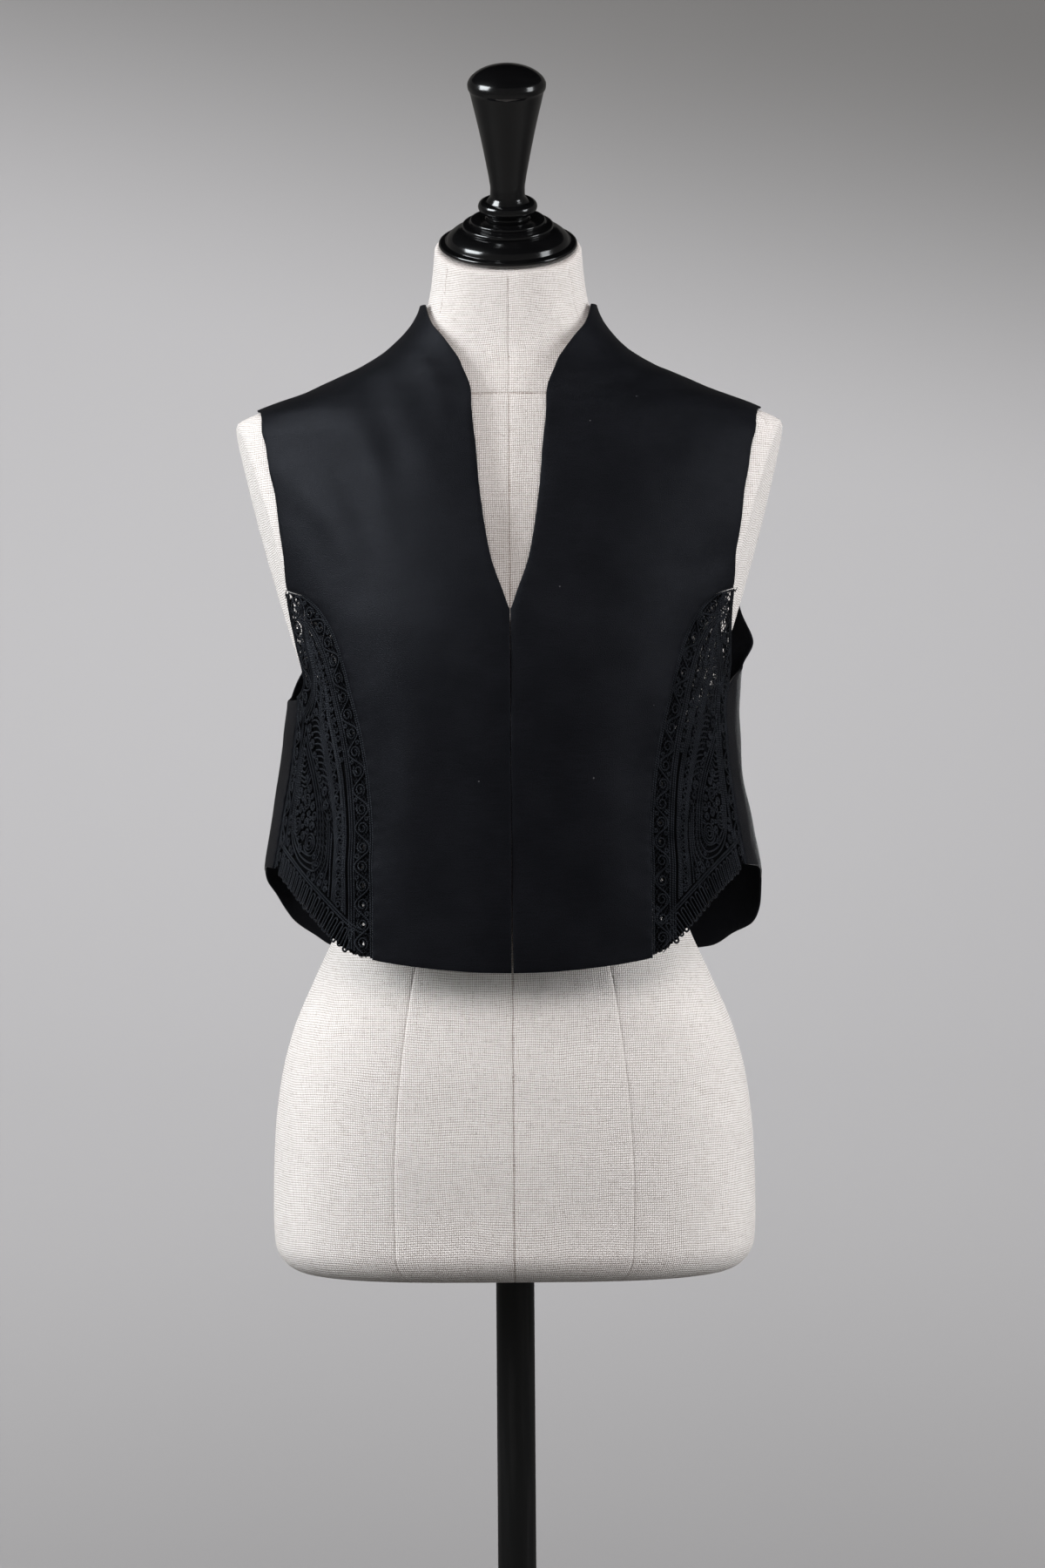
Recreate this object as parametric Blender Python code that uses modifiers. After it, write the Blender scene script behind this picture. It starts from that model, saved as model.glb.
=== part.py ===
"""A cropped vest with cord-lace sides, worn by a linen dress form on a pole and a round base.

Metres, +Z up, the front faces -Y. The origin is the middle of the base's underside, on the floor.
Angles go round the body: 0 is the centre front, +90 degrees is the wearer's left side, 180 the centre back.
"""

import math
from bisect import bisect_right
from collections import namedtuple

import bmesh
import bpy
from mathutils import Matrix, Vector
from mathutils.geometry import delaunay_2d_cdt

# ---- driving dimensions -----------------------------------------------------------------------
CLOTH_WALL = 0.0015  # outer cloth and its facing
LACE_WALL = 0.0020  # the thickness of the lace's cords
SEAM_GAP = 0.0010  # between two panels at a seam
SIDE_SEAM_GAP = 0.0003  # the same at the side seam, seen from the front; the cloth runs steeply there
SEAM_TURN = 0.40  # the same along the shoulder seam, in degrees each way
FIT_GAP = 0.0004  # between hard pieces that touch

FORM_BOTTOM = 0.762
FORM_EDGE_RADIUS = 0.021  # the padded edge round the form's underside
NECK_PLATE_CENTRE = Vector((0.0, -0.014, 1.4745))
NECK_TILT = math.radians(27)  # the neck plate slopes down towards the front
CAP_HEIGHT = 0.0200
ARM_PLATE_X = 0.1660  # the arm plate at ARM_PLATE_HEIGHT, in the middle of its depth
ARM_PLATE_HEIGHT = 1.26
ARM_PLATE_LOW = 1.10  # the plates end above this
ARM_PLATE_LEAN = math.radians(14.9)  # out towards the top
ARM_PLATE_TURN = math.radians(8.2)  # towards the front

POLE_RADIUS = 0.0134
POLE_IN_FORM = 0.120
BASE_RADIUS = 0.205
BASE_THICKNESS = 0.008
BOSS_RADIUS = 0.024
BOSS_HEIGHT = 0.045
POLE_FOOT = 0.006  # how far above the floor the pole's seat in the base is

FORM_RING_STEPS = 44
FORM_RING_COUNT = 34
TURNED_STEPS = 28

# ---- sections of the form and of the vest -----------------------------------------------------
# A ring is a level section: two half superellipses that meet at the sides. half_width is its reach along X.
# front, back and side are the Y of its foremost, rearmost and widest points.
Ring = namedtuple("Ring", "height half_width front back side power")

FORM_RINGS = (
    Ring(0.762, 0.1660, -0.1020, 0.1120, 0.004, 2.50),
    Ring(0.800, 0.1683, -0.1040, 0.1160, 0.004, 2.50),
    Ring(0.856, 0.1671, -0.1060, 0.1200, 0.004, 2.45),
    Ring(0.893, 0.1632, -0.1060, 0.1170, 0.004, 2.40),
    Ring(0.929, 0.1543, -0.1030, 0.1080, 0.002, 2.35),
    Ring(0.966, 0.1385, -0.0970, 0.0930, 0.000, 2.30),
    Ring(1.000, 0.1230, -0.0900, 0.0800, 0.000, 2.20),
    Ring(1.030, 0.1140, -0.0860, 0.0740, 0.000, 2.20),
    Ring(1.065, 0.1150, -0.0900, 0.0770, 0.000, 2.20),
    Ring(1.110, 0.1210, -0.1010, 0.0860, 0.002, 2.20),
    Ring(1.160, 0.1400, -0.1130, 0.0950, 0.006, 2.15),
    Ring(1.200, 0.1600, -0.1120, 0.0990, 0.010, 2.10),
    Ring(1.250, 0.1880, -0.1020, 0.1000, 0.012, 2.05),
    Ring(1.300, 0.2040, -0.0900, 0.0960, 0.014, 2.00),
    Ring(1.335, 0.2030, -0.0770, 0.0880, 0.014, 2.00),
    Ring(1.352, 0.1940, -0.0710, 0.0830, 0.014, 2.00),
    Ring(1.3600, 0.1790, -0.0680, 0.0800, 0.013, 2.00),
    Ring(1.3700, 0.1450, -0.0640, 0.0760, 0.012, 2.00),
    Ring(1.3800, 0.1210, -0.0610, 0.0720, 0.010, 2.00),
    Ring(1.3895, 0.0990, -0.0590, 0.0670, 0.007, 2.00),
    Ring(1.3995, 0.0820, -0.0580, 0.0610, 0.003, 2.00),
    Ring(1.4110, 0.0695, -0.0585, 0.0550, -0.001, 2.00),
    Ring(1.4280, 0.0585, -0.0595, 0.0480, -0.006, 2.00),
    Ring(1.4450, 0.0540, -0.0610, 0.0430, -0.009, 2.00),
    Ring(1.4745, 0.0512, -0.0640, 0.0360, -0.014, 2.00),
    Ring(1.5150, 0.0505, -0.0680, 0.0280, -0.020, 2.00),
)

VEST_RINGS = (
    Ring(0.965, 0.1840, -0.1270, 0.1500, 0.070, 2.30),
    Ring(1.010, 0.1815, -0.1300, 0.1475, 0.070, 2.30),
    Ring(1.041, 0.1780, -0.1305, 0.1450, 0.070, 2.30),
    Ring(1.069, 0.1730, -0.1310, 0.1410, 0.070, 2.25),
    Ring(1.100, 0.1680, -0.1315, 0.1370, 0.070, 2.25),
    Ring(1.130, 0.1640, -0.1315, 0.1330, 0.066, 2.30),
    Ring(1.162, 0.1610, -0.1305, 0.1280, 0.060, 2.40),
    Ring(1.200, 0.1690, -0.1270, 0.1220, 0.050, 2.40),
    Ring(1.250, 0.1930, -0.1150, 0.1160, 0.028, 2.15),
    Ring(1.300, 0.2080, -0.0990, 0.1090, 0.020, 2.00),
    Ring(1.340, 0.2050, -0.0840, 0.0970, 0.014, 2.00),
    Ring(1.356, 0.1920, -0.0780, 0.0910, 0.013, 2.00),
    Ring(1.3645, 0.1740, -0.0745, 0.0870, 0.012, 2.00),
    Ring(1.3745, 0.1460, -0.0705, 0.0825, 0.010, 2.00),
    Ring(1.3843, 0.1240, -0.0675, 0.0775, 0.008, 2.00),
    Ring(1.3940, 0.1020, -0.0650, 0.0725, 0.005, 2.00),
    Ring(1.4040, 0.0845, -0.0640, 0.0665, 0.001, 2.00),
    Ring(1.4135, 0.0737, -0.0640, 0.0610, -0.002, 2.00),
    Ring(1.4233, 0.0662, -0.0645, 0.0560, -0.004, 2.00),
    Ring(1.4330, 0.0620, -0.0650, 0.0525, -0.006, 2.00),
    Ring(1.4500, 0.0590, -0.0660, 0.0490, -0.008, 2.00),
)

# A swell lifts a surface outwards by depth round one spot, and dies away over its reaches.
Swell = namedtuple("Swell", "angle height across up down depth")

FORM_SWELLS = (
    Swell(36, 1.160, 20, 0.045, 0.040, 0.0070),
    Swell(-36, 1.160, 20, 0.045, 0.040, 0.0070),
)
VEST_SWELLS = (
    Swell(36, 1.160, 20, 0.050, 0.160, 0.0055),  # over the bust, and down from it
    Swell(-36, 1.160, 20, 0.050, 0.160, 0.0055),
    Swell(104, 1.203, 16, 0.022, 0.016, 0.0110),  # the loose back armhole, wearer's left
    Swell(92, 1.166, 14, 0.012, 0.018, 0.0025),
    Swell(-92, 1.170, 14, 0.016, 0.016, -0.0025),
    Swell(92, 1.104, 12, 0.018, 0.018, -0.0045),
    Swell(140, 1.020, 12, 0.150, 0.090, 0.0070),  # the swing back's soft folds
    Swell(165, 1.010, 11, 0.120, 0.090, -0.0070),
    Swell(-172, 0.990, 10, 0.170, 0.090, 0.0055),
    Swell(-150, 1.010, 11, 0.130, 0.090, -0.0065),
    Swell(-125, 1.000, 13, 0.120, 0.090, 0.0070),
)

# ---- the vest's cut ---------------------------------------------------------------------------
# Outlines that lie on the front are rows of (distance from the centre front, height).
CENTRE_FRONT = ((0.0000, 0.9739), (0.0000, 1.0550), (0.0000, 1.1400), (0.0000, 1.2170))
NECKLINE = (
    (0.0000, 1.2170),
    (0.0045, 1.2290),
    (0.0130, 1.2540),
    (0.0200, 1.2990),
    (0.0232, 1.3350),
    (0.0255, 1.3640),
    (0.0325, 1.3880),
    (0.0440, 1.4060),
    (0.0545, 1.4205),
    (0.0585, 1.4330),
)
PRINCESS_SEAM = (
    (0.0930, 0.9825),
    (0.0925, 1.0200),
    (0.0915, 1.0700),
    (0.0935, 1.1050),
    (0.0990, 1.1400),
    (0.1065, 1.1700),
    (0.1170, 1.2000),
    (0.1290, 1.2190),
    (0.1400, 1.2290),
    (0.1525, 1.2335),
)
FRONT_ARMHOLE = (
    (0.1525, 1.2335),
    (0.1555, 1.2600),
    (0.1600, 1.2920),
    (0.1650, 1.3170),
    (0.1690, 1.3380),
    (0.1712, 1.3500),
    (0.1726, 1.3590),
)
LACE_ARMHOLE = {
    +1: (
        (0.1485, 1.1600),
        (0.1508, 1.1680),
        (0.1520, 1.1800),
        (0.1516, 1.1900),
        (0.1513, 1.2020),
        (0.1516, 1.2200),
        (0.1526, 1.2310),
    ),
    -1: (
        (0.1470, 1.1590),
        (0.1428, 1.1650),
        (0.1410, 1.1725),
        (0.1424, 1.1800),
        (0.1457, 1.1920),
        (0.1487, 1.2055),
        (0.1518, 1.2220),
        (0.1528, 1.2310),
    ),
}
SIDE_SEAM = {
    +1: (
        (0.1620, 1.0435),
        (0.1575, 1.0660),
        (0.1540, 1.0880),
        (0.1515, 1.1050),
        (0.1495, 1.1250),
        (0.1482, 1.1430),
        (0.1485, 1.1600),
    ),
    -1: (
        (0.1655, 1.0425),
        (0.1613, 1.0660),
        (0.1573, 1.0880),
        (0.1538, 1.1050),
        (0.1508, 1.1250),
        (0.1482, 1.1430),
        (0.1470, 1.1590),
    ),
}
LACE_HEM = {
    +1: (
        (0.0930, 0.9825),
        (0.1015, 0.9850),
        (0.1110, 0.9920),
        (0.1210, 1.0030),
        (0.1346, 1.0180),
        (0.1450, 1.0285),
        (0.1620, 1.0435),
    ),
    -1: (
        (0.0930, 0.9825),
        (0.0985, 0.9820),
        (0.1050, 0.9833),
        (0.1122, 0.9867),
        (0.1183, 0.9911),
        (0.1244, 0.9972),
        (0.1307, 1.0040),
        (0.1370, 1.0108),
        (0.1434, 1.0175),
        (0.1539, 1.0293),
        (0.1655, 1.0425),
    ),
}
SHOULDER_TIP_HEIGHT = 1.3645
COLLAR_TOP_SIDE = 1.4345

FRONT_HEM = (
    (0.0000, 0.9739),
    (0.0210, 0.9740),
    (0.0405, 0.9748),
    (0.0581, 0.9757),
    (0.0722, 0.9771),
    (0.0830, 0.9790),
    (0.0900, 0.9811),
    (0.0930, 0.9825),
)

# Rows of (angle, height). The back hangs lower than the sides.
COLLAR_TOP_BACK = (180, 1.4420)
BACK_HEM = {
    +1: (
        (66, 1.0435),
        (80, 1.0400),
        (92, 1.0290),
        (100, 1.0110),
        (108, 0.9985),
        (120, 0.9905),
        (132, 0.9800),
        (146, 0.9775),
        (180, 0.9775),
    ),
    -1: (
        (66, 1.0435),
        (80, 1.0430),
        (90, 1.0385),
        (99, 1.0305),
        (110, 1.0210),
        (118, 1.0110),
        (124, 1.0010),
        (131, 0.9910),
        (138, 0.9810),
        (150, 0.9775),
        (180, 0.9775),
    ),
}
# Under the arm, then up the back armhole to the shoulder tip.
BACK_UNDERARM = {
    +1: ((72, 1.1730), (82, 1.1800), (92, 1.1850), (100, 1.1925), (106, 1.2030)),
    -1: ((76, 1.1590), (90, 1.1630), (101, 1.1690), (109, 1.1760), (117, 1.1870)),
}
BACK_ARMHOLE = {
    +1: (
        (0.1640, 1.2350),
        (0.1635, 1.2700),
        (0.1650, 1.3050),
        (0.1690, 1.3380),
        (0.1712, 1.3500),
        (0.1726, 1.3590),
    ),
    -1: (
        (0.1560, 1.2350),
        (0.1600, 1.2700),
        (0.1640, 1.3050),
        (0.1690, 1.3380),
        (0.1712, 1.3500),
        (0.1726, 1.3590),
    ),
}

# How many straight steps each edge is drawn in. Panels that share a seam share its steps.
CENTRE_FRONT_STEPS = 16
NECKLINE_STEPS = 16
COLLAR_TOP_STEPS = 2
SHOULDER_STEPS = 12
FRONT_ARMHOLE_STEPS = 13
PRINCESS_STEPS = 21
FRONT_HEM_STEPS = 10
SIDE_SEAM_STEPS = 10
LACE_ARMHOLE_STEPS = 11
LACE_HEM_STEPS = 12
BACK_ARMHOLE_STEPS = 26
BACK_HEM_STEPS = 24
BACK_COLLAR_STEPS = 8

# The places inside a panel where its surface is sampled.
LATTICE_ANGLE = 5.0
LATTICE_HEIGHTS = (
    *(0.990 + 0.0135 * k for k in range(26)),
    *(1.3355, 1.3440, 1.3510, 1.3560, 1.3600, 1.3640, 1.3690, 1.3745, 1.3800, 1.3860),
    *(1.3940, 1.4040, 1.4150, 1.4260),
)
LATTICE_CLEAR = 0.0050  # how far a sampled place stays from the panel's edge

# ---- finishes ---------------------------------------------------------------------------------
Finish = namedtuple("Finish", "name color roughness metallic")
SATIN = Finish("black_satin", (0.016, 0.017, 0.021), 0.55, 0.0)
CORD = Finish("black_cord", (0.014, 0.016, 0.021), 0.60, 0.0)
LINEN = Finish("linen", (0.640, 0.590, 0.560), 0.90, 0.0)
LACQUER = Finish("black_lacquer", (0.006, 0.006, 0.007), 0.16, 0.0)
POLE_PAINT = Finish("black_paint", (0.009, 0.010, 0.010), 0.40, 0.3)


def smooth_between(knots, at):
    """A value at a place along rows of (place, value): cubic, with no overshoot past the rows."""
    places = [knot[0] for knot in knots]
    values = [knot[1] for knot in knots]
    at = min(max(at, places[0]), places[-1])
    spans = [b - a for a, b in zip(places, places[1:])]
    rises = [(b - a) / span for a, b, span in zip(values, values[1:], spans)]
    slopes = [rises[0]]
    for before, after in zip(rises, rises[1:]):
        slopes.append(2 * before * after / (before + after) if before * after > 0 else 0.0)
    slopes.append(rises[-1])
    row = min(bisect_right(places, at) - 1, len(spans) - 1)
    t = (at - places[row]) / spans[row]
    bend = (2 * t**3 - 3 * t**2 + 1, t**3 - 2 * t**2 + t, 3 * t**2 - 2 * t**3, t**3 - t**2)
    return (
        bend[0] * values[row]
        + bend[1] * spans[row] * slopes[row]
        + bend[2] * values[row + 1]
        + bend[3] * spans[row] * slopes[row + 1]
    )


def ring_at(rings, height):
    """The section at a height, each of its sizes read from the table."""
    sizes = [
        smooth_between([(ring.height, ring[column]) for ring in rings], height)
        for column in range(1, len(Ring._fields))
    ]
    return Ring(height, *sizes)


def swell_at(swells, angle, height):
    """How far the swells lift the surface at an angle, in degrees, and a height."""
    lift = 0.0
    for swell in swells:
        across = ((angle - swell.angle + 180) % 360 - 180) / swell.across
        reach = swell.up if height > swell.height else swell.down
        lift += swell.depth * math.exp(-(across**2) - ((height - swell.height) / reach) ** 2)
    return lift


def surface_point(rings, swells, angle, height):
    """The point of the form or the vest at an angle, in degrees, and a height."""
    ring = ring_at(rings, height)
    sine, cosine = math.sin(math.radians(angle)), math.cos(math.radians(angle))
    reach = ring.front if cosine > 0 else ring.back
    x = math.copysign(ring.half_width * abs(sine) ** (2 / ring.power), sine)
    y = ring.side + (reach - ring.side) * abs(cosine) ** (2 / ring.power)
    lift = swell_at(swells, angle, height)
    return Vector((x + lift * sine, y - lift * cosine, height))


def vest_angle(x, height):
    """The angle of the vest's front at a distance from the centre front."""
    ring = ring_at(VEST_RINGS, height)
    share = min(x / ring.half_width, 1.0)
    return math.degrees(math.asin(share ** (ring.power / 2)))


def on_front(outline, shift=0.0):
    """An outline of (distance, height) as rows of (angle, height), moved aside by shift."""
    rows = []
    for k, (x, height) in enumerate(outline):
        before, after = outline[max(k - 1, 0)], outline[min(k + 1, len(outline) - 1)]
        along = Vector(after) - Vector(before)
        aside = shift / along.length if along.length else 0.0
        moved = (x + aside * along.y, height - aside * along.x)
        rows.append((vest_angle(*moved), moved[1]))
    return rows


def on_back(outline):
    """The same on the back half of the vest."""
    return [(180.0 - angle, height) for angle, height in on_front(outline)]


def spread(line, count, side):
    """count + 1 rows of (angle, height) along a smooth line, evenly spaced as worn."""
    stations = list(range(len(line)))
    fine = 12 * (len(line) - 1)
    dense = [
        tuple(
            smooth_between(list(zip(stations, [row[k] for row in line])), step * stations[-1] / fine)
            for k in (0, 1)
        )
        for step in range(fine + 1)
    ]
    worn = [surface_point(VEST_RINGS, VEST_SWELLS, side * a, z) for a, z in dense]
    along = [0.0]
    for a, b in zip(worn, worn[1:]):
        along.append(along[-1] + (b - a).length)
    rows = []
    for step in range(count + 1):
        at = along[-1] * step / count
        k = min(max(bisect_right(along, at) - 1, 0), fine - 1)
        t = (at - along[k]) / (along[k + 1] - along[k])
        rows.append(tuple(dense[k][c] + t * (dense[k + 1][c] - dense[k][c]) for c in (0, 1)))
    return rows


def as_cut(angle, height):
    """A place on the vest, laid out flat for the drawing of a panel's faces."""
    slant = [(VEST_RINGS[0].height, 0.0)]
    for low, high in zip(VEST_RINGS, VEST_RINGS[1:]):
        step = math.hypot(high.height - low.height, high.half_width - low.half_width)
        slant.append((high.height, slant[-1][1] + step))
    return Vector((0.17 * math.radians(angle), smooth_between(slant, height)))


def lattice(outline):
    """Places inside an outline, in level rows, that keep clear of its edge."""
    edge = [as_cut(*place) for place in outline]
    sides = list(zip(edge, edge[1:] + edge[:1]))
    low, high = min(a for a, _ in outline), max(a for a, _ in outline)
    columns = range(math.ceil(low / LATTICE_ANGLE), math.floor(high / LATTICE_ANGLE) + 1)
    inside = []
    for height in LATTICE_HEIGHTS:
        for column in columns:
            at = as_cut(column * LATTICE_ANGLE, height)
            crossed = [
                (a.y > at.y) != (b.y > at.y) and at.x < a.x + (at.y - a.y) * (b.x - a.x) / (b.y - a.y)
                for a, b in sides
            ]
            near = min(distance_to(at, a, b) for a, b in sides)
            if sum(crossed) % 2 and near > LATTICE_CLEAR:
                inside.append((column * LATTICE_ANGLE, height))
    return inside


def distance_to(point, start, end):
    """The distance from a point to a straight edge."""
    along = end - start
    share = min(max((point - start).dot(along) / along.length_squared, 0.0), 1.0)
    return (point - start - share * along).length


def material(finish):
    """A Principled material for a finish, made once."""
    made = bpy.data.materials.get(finish.name) or bpy.data.materials.new(finish.name)
    made.use_nodes = True
    shader = made.node_tree.nodes["Principled BSDF"]
    shader.inputs["Base Color"].default_value = (*finish.color, 1.0)
    shader.inputs["Roughness"].default_value = finish.roughness
    shader.inputs["Metallic"].default_value = finish.metallic
    return made


def add_object(name, mesh, finish):
    """A mesh as a named object in the model's collection."""
    mesh.materials.append(material(finish))
    mesh.shade_smooth()
    mesh.set_sharp_from_angle(angle=math.radians(35))
    obj = bpy.data.objects.new(name, mesh)
    bpy.data.collections["vest_on_dress_form"].objects.link(obj)
    return obj


def mesh_from(bm, name):
    """A mesh from a bmesh whose faces are turned outwards."""
    mesh = bpy.data.meshes.new(name)
    bm.to_mesh(mesh)
    bm.free()
    return mesh


def loft(rows_of_points, closed):
    """Quads between rows of points. closed joins each row's last point to its first."""
    bm = bmesh.new()
    rows = [[bm.verts.new(point) for point in row] for row in rows_of_points]
    columns = len(rows[0]) if closed else len(rows[0]) - 1
    for low, high in zip(rows, rows[1:]):
        for c in range(columns):
            d = (c + 1) % len(low)
            bm.faces.new((low[c], low[d], high[d], high[c]))
    return bm, rows


def joined(*stretches):
    """One closed outline made of edges that each start where the last one ended."""
    outline = []
    for stretch in stretches:
        outline += stretch[:-1]
    return outline


def cloth_panel(name, outline, side, wall, finish):
    """A sewn panel: the worn surface inside an outline of (angle, height), given its wall inwards."""
    places = outline + lattice(outline)
    drawn = [as_cut(*place) for place in places]
    _, _, faces, sources, _, _ = delaunay_2d_cdt(drawn, [], [list(range(len(outline)))], 1, 1e-7)
    worn = [surface_point(VEST_RINGS, VEST_SWELLS, side * a, z) for a, z in places]
    bm = bmesh.new()
    verts = [bm.verts.new(worn[source[0]]) for source in sources]
    for face in faces:
        corners = [verts[k] for k in face]
        bm.faces.new(corners if side > 0 else corners[::-1])
    panel = add_object(name, mesh_from(bm, name), finish)
    shell = panel.modifiers.new("wall", "SOLIDIFY")
    shell.thickness = wall
    shell.offset = -1.0
    return panel


def shoulder_seam(shift):
    """The seam along the top of the shoulder and the side of the collar, as rows of (angle, height)."""
    rise = COLLAR_TOP_SIDE - SHOULDER_TIP_HEIGHT
    return [(90.0 + shift, SHOULDER_TIP_HEIGHT + rise * share) for share in (0.0, 0.25, 0.5, 0.75, 1.0)]


def front_panel(side, name):
    """One front with its half of the collar: hem, side, armhole, shoulder seam and opening."""
    shoulder = spread(shoulder_seam(-SEAM_TURN), SHOULDER_STEPS, side)
    armhole = spread([*on_front(FRONT_ARMHOLE), shoulder[0]], FRONT_ARMHOLE_STEPS, side)
    princess = spread(on_front(PRINCESS_SEAM, -SEAM_GAP / 2), PRINCESS_STEPS, side)
    centre = spread(on_front(CENTRE_FRONT, SEAM_GAP / 2), CENTRE_FRONT_STEPS, side)
    neckline = spread([centre[-1], *on_front(NECKLINE, SEAM_GAP / 2)[1:]], NECKLINE_STEPS, side)
    collar = spread([shoulder[-1], neckline[-1]], COLLAR_TOP_STEPS, side)
    hem = spread([centre[0], *on_front(FRONT_HEM)[1:-1], princess[0]], FRONT_HEM_STEPS, side)
    # The armhole starts where the princess seam ends.
    armhole[0] = princess[-1]
    outline = joined(hem, princess, armhole, shoulder, collar, neckline[::-1], centre[::-1])
    return cloth_panel(name, outline, side, CLOTH_WALL, SATIN)


def lace_panel(side, name):
    """One lace side: hem, side seam, underarm curve and princess seam."""
    princess = spread(on_front(PRINCESS_SEAM, SEAM_GAP / 2), PRINCESS_STEPS, side)
    seam = spread(on_front(SIDE_SEAM[side], -SIDE_SEAM_GAP / 2), SIDE_SEAM_STEPS, side)
    armhole = spread([seam[-1], *on_front(LACE_ARMHOLE[side])[1:], princess[-1]], LACE_ARMHOLE_STEPS, side)
    hem = spread([princess[0], *on_front(LACE_HEM[side])[1:-1], seam[0]], LACE_HEM_STEPS, side)
    outline = joined(hem, seam, armhole, princess[::-1])
    return cloth_panel(name, outline, side, LACE_WALL, CORD)


def back_panel(name):
    """The back in one piece, from side seam to side seam, with its half of the collar."""
    edges = {}
    for side in (+1, -1):
        seam = spread(on_front(SIDE_SEAM[side], SIDE_SEAM_GAP / 2), SIDE_SEAM_STEPS, side)
        shoulder = spread(shoulder_seam(SEAM_TURN), SHOULDER_STEPS, side)
        curve = [seam[-1], *BACK_UNDERARM[side], *on_back(BACK_ARMHOLE[side]), shoulder[0]]
        armhole = spread(curve, BACK_ARMHOLE_STEPS, side)
        collar = spread([shoulder[-1], COLLAR_TOP_BACK], BACK_COLLAR_STEPS, side)
        hem = spread([seam[0], *BACK_HEM[side][1:]], BACK_HEM_STEPS, side)
        edges[side] = joined(hem[::-1], seam, armhole, shoulder, collar) + [collar[-1]]
    mirrored = [(360.0 - angle, height) for angle, height in edges[-1]]
    outline = edges[+1][::-1] + mirrored[1:-1]
    return cloth_panel(name, outline, +1, CLOTH_WALL, SATIN)


def form_ring(height):
    """The form's section at a height, drawn in at the padded lower edge."""
    above = height - FORM_BOTTOM
    inset = 0.0
    if above < FORM_EDGE_RADIUS:
        inset = FORM_EDGE_RADIUS - math.sqrt(FORM_EDGE_RADIUS**2 - (FORM_EDGE_RADIUS - above) ** 2)
    points = []
    for step in range(FORM_RING_STEPS):
        angle = 360 * step / FORM_RING_STEPS
        point = surface_point(FORM_RINGS, FORM_SWELLS, angle, height)
        outward = Vector((point.x, point.y, 0.0)).normalized()
        points.append(point - inset * outward)
    return points


def form_heights():
    """Close together at the padded edge and over the shoulders, wider apart between them."""
    edge = [FORM_BOTTOM + FORM_EDGE_RADIUS * share for share in (0.0, 0.1, 0.3, 0.6, 1.0)]
    trunk = [0.815 + (1.335 - 0.815) * k / 17 for k in range(18)]
    shoulders = [ring.height for ring in FORM_RINGS if ring.height > 1.335]
    between = [(a + b) / 2 for a, b in zip(shoulders[:5], shoulders[1:6])]
    return edge + trunk + sorted(shoulders + between)


def cut_flat(bm, point, outward, above):
    """Cuts a closed mesh by a plane, but only above a height, and closes the cut with a flat face."""
    corners = {vert for vert in bm.verts if vert.co.z > above}
    part = list(corners)
    part += [edge for edge in bm.edges if corners.issuperset(edge.verts)]
    part += [face for face in bm.faces if corners.issuperset(face.verts)]
    cut = bmesh.ops.bisect_plane(
        bm, geom=part, plane_co=point, plane_no=outward, clear_outer=True, dist=1e-6
    )
    edges = [part for part in cut["geom_cut"] if isinstance(part, bmesh.types.BMEdge)]
    bmesh.ops.contextual_create(bm, geom=edges)


def neck_axis():
    """The direction of the neck plate's upper face."""
    return Vector((0.0, -math.sin(NECK_TILT), math.cos(NECK_TILT)))


def dress_form():
    """The linen torso: lofted rings, cut flat at the neck and the arms, and bored for the pole."""
    bm, rows = loft([form_ring(height) for height in form_heights()], closed=True)
    bm.faces.new(rows[0][::-1])
    bm.faces.new(rows[-1])
    bmesh.ops.recalc_face_normals(bm, faces=bm.faces[:])
    cut_flat(bm, NECK_PLATE_CENTRE, neck_axis(), above=1.40)
    for side in (+1, -1):
        outward = Vector((side, -math.tan(ARM_PLATE_TURN), -math.tan(ARM_PLATE_LEAN))).normalized()
        cut_flat(bm, Vector((side * ARM_PLATE_X, 0.0, ARM_PLATE_HEIGHT)), outward, above=ARM_PLATE_LOW)
    bmesh.ops.recalc_face_normals(bm, faces=bm.faces[:])
    form = add_object("torso", mesh_from(bm, "torso"), LINEN)
    bore = cutter_cylinder("pole_bore", POLE_RADIUS + FIT_GAP, FORM_BOTTOM - 0.02, FORM_BOTTOM + POLE_IN_FORM)
    cut = form.modifiers.new("bore", "BOOLEAN")
    cut.operation = "DIFFERENCE"
    cut.solver = "EXACT"
    cut.object = bore
    return form


def cutter_cylinder(name, radius, low, high):
    """An upright cylinder on the axis that only cuts."""
    bm = bmesh.new()
    bmesh.ops.create_cone(
        bm,
        cap_ends=True,
        segments=TURNED_STEPS,
        radius1=radius,
        radius2=radius,
        depth=high - low,
        matrix=Matrix.Translation((0, 0, (low + high) / 2)),
    )
    cutter = bpy.data.objects.new(name, mesh_from(bm, name))
    bpy.data.collections["cutters"].objects.link(cutter)
    cutter.hide_render = True
    cutter.display_type = "WIRE"
    return cutter


def turned(name, profile, finish, steps=TURNED_STEPS):
    """A turned piece: a profile of (radius, height), top to bottom, spun about its own Z."""
    mesh = bpy.data.meshes.new(name)
    mesh.from_pydata(
        [(radius, 0.0, height) for radius, height in profile],
        [(k, k + 1) for k in range(len(profile) - 1)],
        [],
    )
    piece = add_object(name, mesh, finish)
    screw = piece.modifiers.new("turn", "SCREW")
    screw.steps = steps
    screw.render_steps = steps
    screw.use_merge_vertices = True
    screw.merge_threshold = 0.00005
    screw.use_smooth_shade = True
    return piece


def arc(centre, radius, start, end, steps):
    """Points of a round moulding in a profile, between two angles in degrees."""
    turn = [math.radians(start + (end - start) * k / steps) for k in range(steps + 1)]
    return [(centre[0] + radius * math.cos(a), centre[1] + radius * math.sin(a)) for a in turn]


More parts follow.
